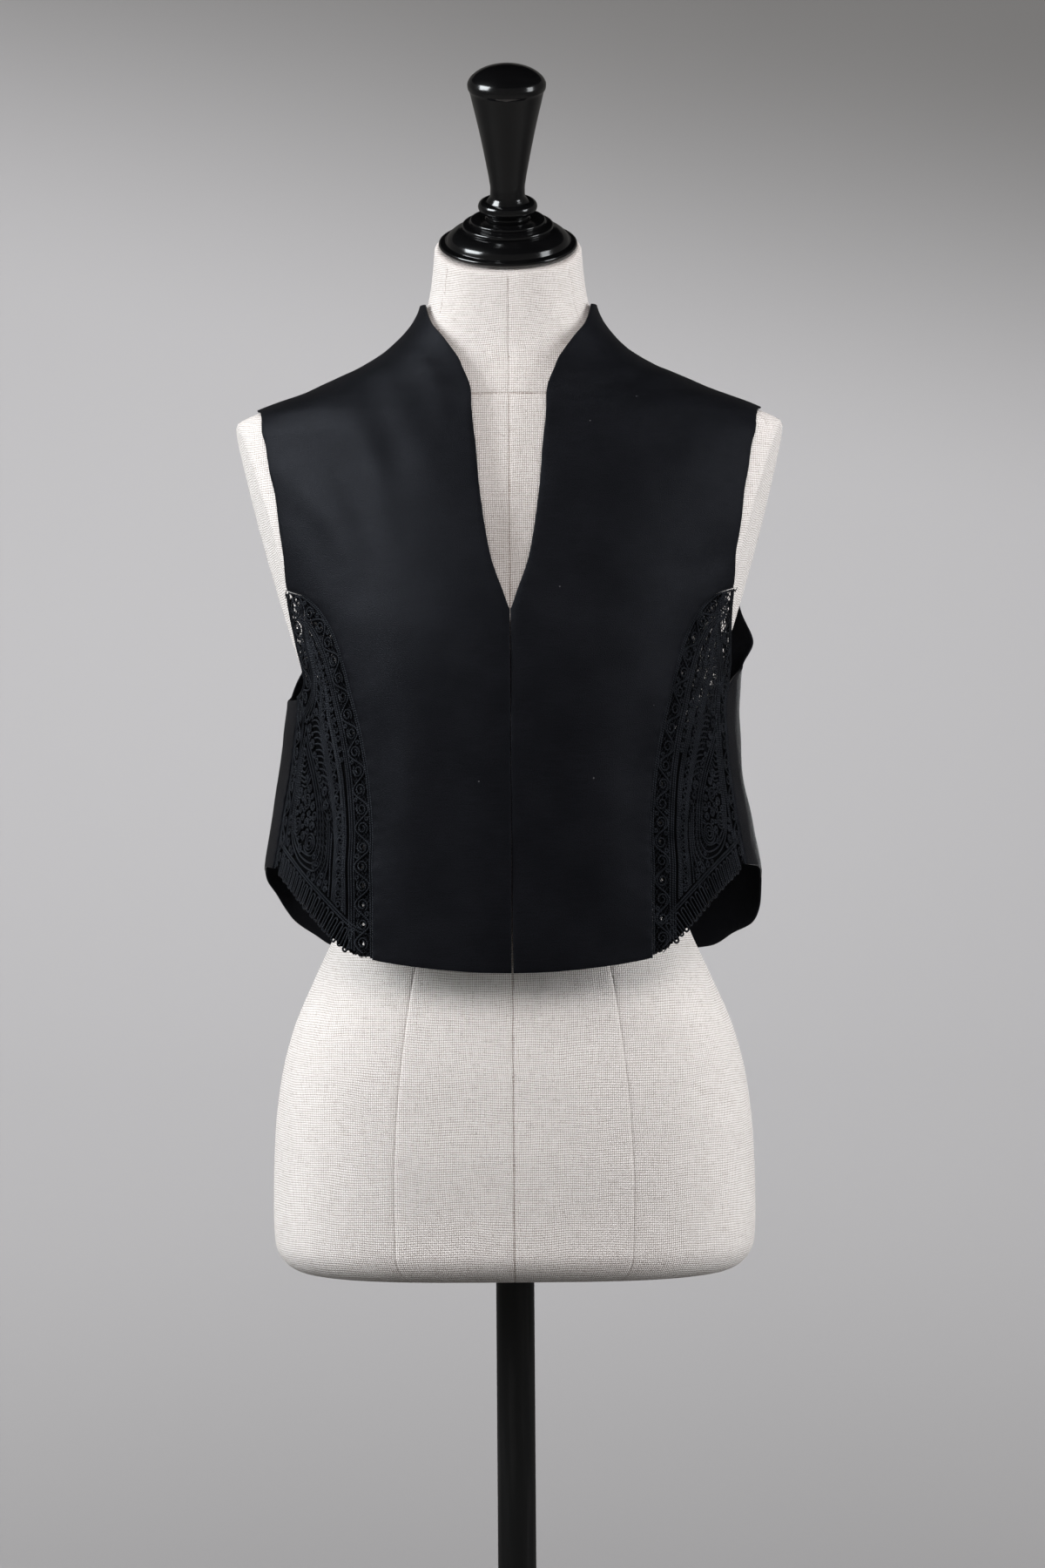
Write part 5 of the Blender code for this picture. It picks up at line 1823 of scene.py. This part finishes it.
    def ribs(self, first: Rows, last: Rows, count: int, lag: float, bow: float, lift: float = 0.0) -> list[Strand]:
        """Short bowed cords from one guide to another, like the barbs of a feather.

        Args:
            first: the guide that they start on.
            last: the guide that they end on.
            count: how many there are.
            lag: how much further along the second guide each one ends.
            bow: its bow, as a share of its length.
            lift: metres over the middle of the lace.

        Returns:
            The cords.
        """
        a, b = self.field(self._guide(first)), self.field(self._guide(last))
        strands, t = [], np.linspace(0, 1, 7)[:, None]
        for share in (np.arange(count) + 0.5) / count:
            start = read_along(a, np.linspace(0, 1, len(a)), share)
            run = read_along(b, np.linspace(0, 1, len(b)), min(max(share + lag, 0.0), 1.0)) - start
            square = np.array([-run[1], run[0]])
            strands.append(Strand(start + run * t + square * bow * np.sin(math.pi * t), 0.74, lift))
        return strands

    def chain(self, guide: Rows) -> list[Strand]:
        """Small coils in a row along a guide, each turned the other way, with a cord that weaves round them."""
        line = evenly(self.field(self._guide(guide, 90)), 0.0006)
        along, found = lengths_along(line), []
        for k, at in enumerate(np.arange(self.chain_pitch / 2, along[-1], self.chain_pitch)):
            turn = (1 if k % 2 else -1) * np.linspace(0.4, 8.2, 17)
            reach = np.linspace(0.0007, 0.0027 + 0.0003 * math.sin(2.3 * k), 17)
            found.append(Strand(spiral(read_along(line, along, at), turn, reach), 0.8, 0.0005))
        wave = self.chain_swing * np.sin(math.pi * (along - self.chain_pitch) / self.chain_pitch)
        return [*found, Strand(evenly(line + wave[:, None] * square_to(line), self.step), 0.78, 0.0002)]

    def coil(self, centre: tuple[float, float], radius: float, turns: float, start: float) -> Strand:
        """A flat spiral of a real size round a place of the field."""
        steps = int(14 * turns) + 2
        turn = start + np.linspace(0, 2 * math.pi * turns, steps)
        return Strand(spiral(self.field(np.array([centre]))[0], turn, np.linspace(0.001, radius, steps)), 0.92, 0.0005)

    def strands(self) -> list[Strand]:
        """Every cord of the lace apart from its rosettes and hem loops."""
        return self._filled(self._edges() + self._waves() + self._sweeps() + self._drop())

    def _filled(self, strands: list[Strand]) -> list[Strand]:
        """Adds a small ring in every gap that is left between the cords, the widest gap first.

        Args:
            strands: the lace's cords, to which the rings are added.

        Returns:
            The same list.
        """
        thin = self.cord_radius * 0.7
        low, high = self.outline.min(0), self.outline.max(0)
        spots = np.stack(np.meshgrid(*(np.arange(low[k], high[k], self.fill_grid) for k in (0, 1))), -1).reshape(-1, 2)
        spots = spots[inside(self.outline, spots) & (distance_to_line(self.hem, spots) > self.hem_inner - 0.0004)]
        room = np.full(len(spots), 1.0)
        for strand in strands:
            line = evenly(strand.line, self.step)
            for start in range(0, len(line), 60):
                apart = np.linalg.norm(spots[:, None] - line[None, start : start + 60], axis=-1).min(1)
                room = np.minimum(room, apart - self.cord_radius * strand.thickness)
        for spot, _, size in self.rosette_places():
            room = np.minimum(room, np.linalg.norm(spots - spot, axis=1) - self.rosette_reach * size - self.cord_radius)
        while room.max() > self.fill_room and len(strands) < self.most_strands:
            best = int(np.argmax(room))
            reach = min(room[best] - 0.0002, self.fill_reach) - thin
            turns = 1.0 if reach < 0.0018 else 1.7
            turn = 1.7 * len(strands) + np.linspace(0, 2 * math.pi * turns, int(9 * turns) + 2)
            radius = np.linspace(reach if turns == 1.0 else 0.0009, reach, len(turn))
            strands.append(Strand(spiral(spots[best], turn, radius), self.fill_thickness, 0.0003))
            room = np.minimum(room, np.linalg.norm(spots - spots[best], axis=1) - reach - thin)
        return strands

    def _edges(self) -> list[Strand]:
        """The cords that run beside the panel's edges, and the one on each seam that covers its gap."""
        found = [Strand(self.beside(self.front, 0.0014), 1.0, 0.0002), Strand(self.beside(self.rear, 0.0013))]
        for edge, shift, lift in ((self.front, -0.0003, 0.0002), (self.rear, 0.0003, 0.0003)):
            found.append(Strand(evenly(moved_aside(edge, shift), self.curve_step), 0.85, lift))
        for edge, inner, lifts in (
            (self.front, self.border_inner, (0.0, 0.0002, 0.0)),
            (self.rear, self.side_inner, (0.0, 0.0)),
            (self.hem, self.hem_inner, (0.0, 0.0002)),
        ):
            lines = [self.beside(edge, inner + self.cord_pitch * k) for k in range(len(lifts))]
            found += [Strand(line, 0.95, lift) for line, lift in zip(lines, lifts)]
        return found

    def _waves(self) -> list[Strand]:
        """A cord that weaves in and out round each border's rosettes."""
        found = []
        for line, pitch, _, swing in self.borders():
            wave = swing * np.sin(math.pi * lengths_along(line) / pitch)
            found.append(Strand(line + wave[:, None] * square_to(line), 0.88, 0.0004))
        return found

    def _sweeps(self) -> list[Strand]:
        """The long sweeps of cords from the armhole to the hem, and the barbs between them."""
        sweep = (
            ((0.3, 1.06), (0.22, 0.85), (0.09, 0.62), (0.03, 0.4), (0.02, 0.0)),
            ((0.66, 1.04), (0.56, 0.82), (0.38, 0.58), (0.22, 0.38), (0.15, 0.16), (0.17, 0.0)),
        )
        spray = (((0.84, 1.02), (0.8, 0.82), (0.72, 0.62)), ((0.99, 1.0), (0.97, 0.8), (0.96, 0.58)))
        fan = (((0.2, 0.24), (0.19, 0.1), (0.21, 0.0)), ((0.27, 0.3), (0.25, 0.14), (0.38, 0.0)))
        found = [strand for k, strand in enumerate(self.bundle(*sweep, 9, 0.95)) if k not in (3, 4, 5)]
        found += self.chain(((0.48, 1.0), (0.4, 0.82), (0.24, 0.6), (0.13, 0.4), (0.08, 0.2), (0.09, 0.04)))
        found += self.bundle(*spray, 3, 0.92) + self.bundle(*fan, 3, 0.9)
        for barbs in (
            (((0.04, 0.98), (0.02, 0.8), (0.02, 0.64)), ((0.28, 0.98), (0.22, 0.84), (0.09, 0.66)), 9, 0.1, 0.18),
            (((0.66, 1.0), (0.57, 0.82), (0.44, 0.62)), ((0.84, 1.0), (0.8, 0.82), (0.74, 0.66)), 8, -0.06, 0.22),
            (((0.42, 0.6), (0.3, 0.46), (0.22, 0.34)), ((0.72, 0.63), (0.56, 0.52), (0.38, 0.4)), 11, 0.05, 0.28),
            (((0.03, 0.36), (0.02, 0.18), (0.02, 0.02)), ((0.14, 0.36), (0.11, 0.18), (0.11, 0.02)), 9, 0.05, 0.2),
        ):
            found += self.ribs(*barbs, lift=0.0002)
        return found

    def _drop(self) -> list[Strand]:
        """The drop, with its nested outlines, coils and barbs."""
        outline = (
            (0.92, 0.57), (0.74, 0.5), (0.52, 0.41), (0.34, 0.28), (0.3, 0.13), (0.42, 0.035), (0.64, 0.01),
            (0.86, 0.05), (0.97, 0.2), (0.98, 0.4), (0.92, 0.57),
        )
        line, middle = dense(np.array(outline), 8), np.array([0.66, 0.2])
        nested = [self.field(middle + (line - middle) * share) for share in (1.0, 0.87, 0.74)]
        found = [Strand(evenly(ring, self.curve_step), 0.95) for ring in nested]
        barbs = (((0.86, 0.47), (0.74, 0.41), (0.62, 0.37)), ((0.91, 0.49), (0.9, 0.37), (0.84, 0.3)))
        found += self.ribs(*barbs, 8, 0.02, -0.25)
        found += [
            self.coil(*whorl)
            for whorl in (
                ((0.51, 0.125), 0.0078, 2.9, 0.4),
                ((0.78, 0.135), 0.0066, 2.5, 2.6),
                ((0.64, 0.27), 0.0054, 2.1, 4.2),
                ((0.83, 0.275), 0.0042, 1.7, 1.0),
                ((0.47, 0.245), 0.0034, 1.5, 3.0),
                ((0.66, 0.06), 0.0032, 1.5, 5.0),
                ((0.72, 0.35), 0.0032, 1.4, 2.0),
            )
        ]
        return [strand for strand in found if len(strand.line) > 2]

    def openness(self, flat: Array) -> Array:
        """How open the lace is.

        Args:
            flat: rows of (way round, height).

        Returns:
            For each, from 0 where the lace is close to 1 where it shows what is behind.
        """
        to_front, to_rear = distance_to_line(self.front, flat), distance_to_line(self.rear, flat)
        share = to_front / np.maximum(to_front + to_rear, 1e-6)
        low, high = (1.12, 1.15) if self.side is Side.LEFT else (1.165, 1.195)
        spray = np.clip((flat[:, 1] - low) / (high - low), 0, 1) * np.exp(-(((share - 0.62) / 0.28) ** 2))
        sweep = 0.45 * np.exp(-(((flat[:, 1] - 1.075) / 0.03) ** 2) - ((share - 0.4) / 0.07) ** 2)
        return np.maximum(spray, sweep)

    def backing(self, name: str) -> Piece:
        """The close black ground behind the cords, with its openings, as a thin shell."""
        low, high = self.outline.min(0), self.outline.max(0)
        rise = self.backing_pitch * math.sqrt(3) / 2
        rows, columns = int((high[1] - low[1]) / rise) + 2, int((high[0] - low[0]) / self.backing_pitch) + 3
        row, column = np.meshgrid(np.arange(rows), np.arange(columns), indexing="ij")
        across = low[0] + (column - 0.5 * (row % 2)) * self.backing_pitch
        flat = np.stack([across, low[1] + row * rise], -1).reshape(-1, 2)
        kept = inside(self.outline, flat) & (distance_to_line(self.outline, flat, closed=True) > self.ground_room)
        kept &= distance_to_line(self.hem, flat) > self.ground_hem_room
        number = np.arange(rows * columns).reshape(rows, columns)
        faces = []
        for r in range(rows - 1):
            a, b, c, d = number[r, :-1], number[r, 1:], number[r + 1, :-1], number[r + 1, 1:]
            pairs = ((a, b, c), (b, d, c)) if r % 2 else ((a, b, d), (a, d, c))
            faces += [np.stack(corners, -1) for corners in pairs]
        faces = np.concatenate(faces)
        faces = faces[kept[faces].all(1)]
        middle = flat[faces].mean(1)
        cell = np.round(middle / self.backing_cell).astype(int)
        luck = np.random.default_rng(70 + self.side.value).random((512, 512))[cell[:, 0] % 512, cell[:, 1] % 512]
        shut = luck > 1.1 * self.openness(middle)
        for spot, _, size in self.rosette_places():
            apart = np.linalg.norm(middle - spot, axis=1)
            if size > 0.7 and (luck[int(np.argmin(apart))] < 0.45 or spot[1] > 1.165):
                shut &= apart > self.rosette_hole
        used, faces = np.unique(faces[shut], return_inverse=True)
        # The right side's faces are mirrored, so they run the other way round.
        order = faces.reshape(-1, 3)[:, :: self.side.value]
        panel = linked(name, mesh_from(name, self.raised(flat[used], -0.0007)[0], order))
        return baked(walled(panel, self.backing_wall))

    def threads(self) -> list[Strand]:
        """Fine crossed threads where the lace is open, cut off at the panel's edge."""
        low, high = self.outline.min(0), self.outline.max(0)
        middle, span = (low + high) / 2, float(np.linalg.norm(high - low)) / 2
        slant, t = math.radians(self.net_slant), np.arange(-span, span, self.net_step)
        found = []
        for lean in (+1, -1):
            run = np.array([math.cos(slant), lean * math.sin(slant)])
            square = np.array([-run[1], run[0]])
            for offset in np.arange(-span, span, self.net_pitch):
                wobble = 0.00035 * np.sin(t * 900 + offset * 2100) + 0.0003 * np.sin(offset * 5000)
                line = middle + t[:, None] * run + (offset + wobble)[:, None] * square
                within = inside(self.outline, line)
                within &= distance_to_line(self.outline, line, closed=True) > self.net_room
                within &= (self.openness(line) > 0.04) | (distance_to_line(self.front, line) < self.border_inner)
                for part in np.split(np.arange(len(t)), np.flatnonzero(np.diff(within.astype(int))) + 1):
                    if within[part[0]] and len(part) > 2:
                        found.append(Strand(line[part], 1.0, -0.0004 + 0.0002 * lean))
        return found

    def loose_ends(self) -> list[Strand]:
        """Short thread ends at the two corners of the armhole."""
        draw = np.random.default_rng(40 + self.side.value)
        found, t = [], np.linspace(0, 1, 7)
        for corner, count in ((self.rear[-1], 8), (self.rear[int(len(self.rear) * 0.6)], 7)):
            for _ in range(count):
                start = corner + draw.uniform(-0.002, 0.001, 2)
                turn, bend, reach = draw.uniform(-1.2, 2.2), draw.uniform(-2.4, 2.4), draw.uniform(0.0012, 0.0036)
                found.append(Strand(spiral(start, turn + bend * t, t * reach), 0.5, 0.0008))
        return found

    def corded(self, name: str, strands: Sequence[Strand], radius: float, sides: int) -> Piece:
        """Strands as cords, through the cord tree.

        Args:
            name: the piece's name.
            strands: the cords' middle lines.
            radius: a cord's usual radius.
            sides: how many faces go round a cord.

        Returns:
            The piece, as a plain mesh.
        """
        points, edges, thick = [], [], []
        for strand in strands:
            worn, start = self.raised(strand.line, strand.lift)[0], len(points)
            points += worn.tolist()
            edges += [(start + k, start + k + 1) for k in range(len(worn) - 1)]
            thick += [strand.thickness] * len(worn)
        mesh = bpy.data.meshes.new(name)
        mesh.from_pydata(points, edges, [])
        mesh.attributes.new("thickness", "FLOAT", "POINT").data.foreach_set("value", thick)
        return grown(linked(name, mesh), cord_tree(), Cord_Radius=radius, Sides=sides)

    def dotted(self, name: str, rows: Sequence[tuple[Array, Array, float]], lift: float) -> Piece:
        """Points on the lace, as the copying trees read them.

        Args:
            name: the piece's name.
            rows: rows of (flat place, direction, size).
            lift: metres outwards from the middle of the lace.

        Returns:
            A mesh of points with 'outward', 'along' and 'size'.
        """
        flat, heading = (np.array([row[k] for row in rows]) for k in (0, 1))
        points, normals = self.raised(flat, lift)
        along = self.raised(flat + 0.0008 * heading, lift)[0] - points
        mesh = bpy.data.meshes.new(name)
        mesh.from_pydata(points.tolist(), [], [])
        for label, values in (("outward", normals), ("along", along)):
            mesh.attributes.new(label, "FLOAT_VECTOR", "POINT").data.foreach_set("vector", values.ravel())
        mesh.attributes.new("size", "FLOAT", "POINT").data.foreach_set("value", [row[2] for row in rows])
        return linked(name, mesh)

    def rosette_places(self) -> list[tuple[Array, Array, float]]:
        """Each rosette's flat place, its direction and its size."""
        rows, turn = [], 1.0
        for line, pitch, size, _ in self.borders():
            along = lengths_along(line)
            for at in np.arange(pitch * 0.5, along[-1] - 0.2 * pitch, pitch):
                spot = read_along(line, along, at)
                ahead = read_along(line, along, at + 0.001) - spot
                ahead /= max(np.linalg.norm(ahead), 1e-9)
                room = min(distance_to_line(edge, spot[None])[0] for edge in self.edges)
                if room > self.least_rosette_room:
                    rows.append((spot, turn * ahead, size * min(1.0, room / self.full_rosette_room)))
                    turn = -turn
        return rows

    def rosettes(self, name: str) -> Piece:
        """The coils of the two borders and of the armhole's edge."""
        dots = self.dotted(name, self.rosette_places(), 0.0004)
        reach = {"Inner_Radius": 0.0015, "Outer_Radius": self.rosette_reach}
        return grown(dots, rosette_tree(), Cord_Radius=self.cord_radius * 0.86, Turns=1.4, Steps=17, **reach)

    def hem_loops(self, name: str) -> Piece:
        """The long loops that stand side by side along the hem."""
        line = evenly(moved_aside(self.hem, -self.hem_middle), 0.001)
        along, square, rows = lengths_along(line), square_to(line), []
        for at in np.arange(0.004, along[-1], self.hem_pitch):
            spot = read_along(line, along, at)
            clear = distance_to_line(self.front, spot[None])[0] > self.border_inner + 0.001
            if clear and distance_to_line(self.rear, spot[None])[0] > self.side_inner - 0.001:
                size = 1.0 + 0.06 * math.sin(9.0 * at / self.hem_pitch)
                rows.append((spot, read_along(square, along, at), size))
        loop = {"Cord_Radius": self.cord_radius * 0.98, "Length": self.hem_length, "Width": 0.0031}
        return grown(self.dotted(name, rows, 0.0002), hem_loop_tree(), **loop)

    def build(self) -> list[Piece]:
        """Builds the lace side's pieces."""
        word = self.side.word
        start = f"lace_{word}_"
        ground = self.backing(start + "ground")
        net = self.corded(start + "net", self.threads(), self.thread_radius, 4)
        cords = self.corded(start + "cords", self.strands(), self.cord_radius, 6)
        ends = self.corded(start + "thread_ends", self.loose_ends(), self.thread_radius, 4)
        rosettes, loops = self.rosettes(start + "rosettes"), self.hem_loops(start + "hem_loops")
        laid_on = [finished(piece, CORD, [], sharp=80) for piece in (net, cords, rosettes, loops, ends)]
        finished(ground, CORD_GROUND, [f"lace_side_{word}"], sharp=80)
        return [ground, *laid_on]


# ---- the studio ---------------------------------------------------------------------------------


@dataclass
class Studio:
    """A round booth with a coved wall, soft boxes, and the camera."""

    wall_reach: float = 2.45
    cove: float = 0.7
    wall_height: float = 3.4
    steps: int = 96
    camera_place: tuple[float, float, float] = (0.0075, -2.5925, 1.1)
    camera_roll: float = 0.4
    lens: float = 85.0

    def build(self) -> None:
        """Builds the booth, the lights and the camera."""
        self._booth()
        self._lights()
        self._camera()

    def _booth(self) -> None:
        """The pale floor, turned up into the wall. Its outer side can't be seen."""
        cove, steps = self.cove, self.steps
        rings = [(0.5, 0.0), (1.1, 0.0)]
        for turn in np.radians(np.linspace(0, 90, 13)):
            rings.append((self.wall_reach - cove + cove * math.sin(turn), cove - cove * math.cos(turn)))
        rings.append((self.wall_reach, self.wall_height))
        around = np.linspace(0, 2 * math.pi, steps, endpoint=False)
        points, faces = [(0.0, 0.0, 0.0)], []
        for reach, height in rings:
            points += [(reach * math.cos(a), reach * math.sin(a), height) for a in around]
        for c in range(steps):
            d = (c + 1) % steps
            faces.append((0, 1 + c, 1 + d))
            for a in range(1, (len(rings) - 1) * steps, steps):
                faces.append((a + c, a + steps + c, a + steps + d, a + d))
        booth = linked("booth", mesh_from("booth", np.array(points), faces))
        booth.data.shade_smooth()
        booth.data.materials.append(self._wall_paint())

    @staticmethod
    def _wall_paint() -> bpy.types.Material:
        """Matt pale grey paint that is clear from behind, and dark to every ray but the camera's, with painted shade:
        darker towards the floor and towards the top of the wall, and lower on the +X side.
        """
        made = bpy.data.materials.new("booth_paint")
        made.use_nodes = True
        sketch = NodeSketch(made.node_tree)
        shader = made.node_tree.nodes["Principled BSDF"]
        spot = sketch.spot()
        parts = sketch.split(spot)
        # Painted shade: the wall is darker up to 0.75 m from the floor, and darker again from about 1.6 m up, starting
        # lower towards +X.
        floor, middle, top = (0.42, 0.415, 0.42), (0.55, 0.545, 0.556), (0.215, 0.211, 0.207)
        low = sketch.blend(sketch.ramp(parts[2], 0.0, 0.75), floor, middle)
        tone = sketch.blend(sketch.ramp(sketch.scaled(parts[0], 0.24, parts[2]), 1.58, 2.3), low, top)
        color = sketch.blend(sketch.times(sketch.noise(spot, 1.3, 2.0), 0.1), tone, (0.62, 0.62, 0.63))
        seen = sketch.add("ShaderNodeLightPath").outputs["Is Camera Ray"]
        shown = sketch.blend(seen, (0.115, 0.112, 0.108), color)
        sketch.feed(shader, {"Base Color": shown, "Roughness": 0.95, "Specular IOR Level": 0.1})
        clear = sketch.add("ShaderNodeBsdfTransparent").outputs[0]
        behind = sketch.add("ShaderNodeNewGeometry").outputs["Backfacing"]
        mixed = sketch.add("ShaderNodeMixShader", {0: behind, 1: shader.outputs[0], 2: clear}).outputs[0]
        out = made.node_tree.nodes["Material Output"]
        sketch.tree.links.new(mixed, out.inputs["Surface"])
        return made

    def _lights(self) -> None:
        """Soft windows at both sides and a warm fill for the pale cloth, and the ones that black surfaces mirror."""
        aim, wall = Vector((0.0, 0.0, 1.15)), Vector((-0.35, 3.0, 1.15))
        for name, place, size, power, tint, toward, mirrored, lights in (
            ("window_right", (-1.96, -0.62, 1.74), (1.0, 1.5), 57.5, (0.965, 0.985, 1.0), aim, False, True),
            ("window_left", (2.0, -0.45, 1.4), (1.0, 1.5), 40.0, (0.985, 0.99, 1.0), aim, False, True),
            ("front_fill", (0.05, -1.95, 2.42), (1.5, 1.1), 28.5, (1.0, 0.95, 0.94), aim, False, True),
            ("wall_box", (-0.2, 0.75, 1.25), (1.0, 1.0), 9.0, (1.0, 1.0, 1.0), wall, False, True),
            ("sheen_right", (-1.6, -0.8, 2.58), (1.0, 0.9), 36.0, (0.93, 0.97, 1.0), aim, True, False),
            ("sheen_left", (1.8, -0.8, 2.1), (0.6, 0.9), 9.0, (0.95, 0.98, 1.0), aim, True, False),
            ("rear_box", (0.1, 2.1, 0.95), (1.1, 0.9), 17.0, (0.97, 0.985, 1.0), aim, True, True),
        ):
            light = bpy.data.lights.new(name, "AREA")
            light.shape = "RECTANGLE"
            light.size, light.size_y = size
            light.energy = power
            light.color = tint
            lamp = bpy.data.objects.new(name, light)
            lamp.location = place
            lamp.rotation_euler = (toward - Vector(place)).to_track_quat("-Z", "Y").to_euler()
            lamp.visible_camera = False
            lamp.visible_glossy = mirrored
            lamp.visible_diffuse = lights
            bpy.context.scene.collection.objects.link(lamp)
        world = bpy.data.worlds.new("room")
        world.use_nodes = True
        background = world.node_tree.nodes["Background"]
        background.inputs["Color"].default_value = (1.0, 0.95, 0.92, 1.0)
        background.inputs["Strength"].default_value = 0.3
        world.cycles_visibility.glossy = False
        bpy.context.scene.world = world
        bpy.context.scene.view_settings.view_transform = "Standard"

    def _camera(self) -> None:
        """The camera, level with the vest's hem and turned very slightly."""
        camera = bpy.data.cameras.new("camera")
        camera.lens = self.lens
        camera.sensor_width = 36.0
        camera.clip_end = 60.0
        holder = bpy.data.objects.new("camera", camera)
        holder.location = self.camera_place
        holder.rotation_euler = (math.pi / 2, math.radians(self.camera_roll), 0.0)
        bpy.context.scene.collection.objects.link(holder)
        bpy.context.scene.camera = holder


def main() -> None:
    """Loads the frame and builds each sub-assembly round it."""
    logging.basicConfig(level=logging.INFO, format="%(message)s")
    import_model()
    Studio().build()
    form = DressForm()
    form.build()
    Stand(Vector(form.neck_centre), form.neck_tilt, form.bottom).build()
    Vest(Cut()).build()


if __name__ == "__main__":
    main()
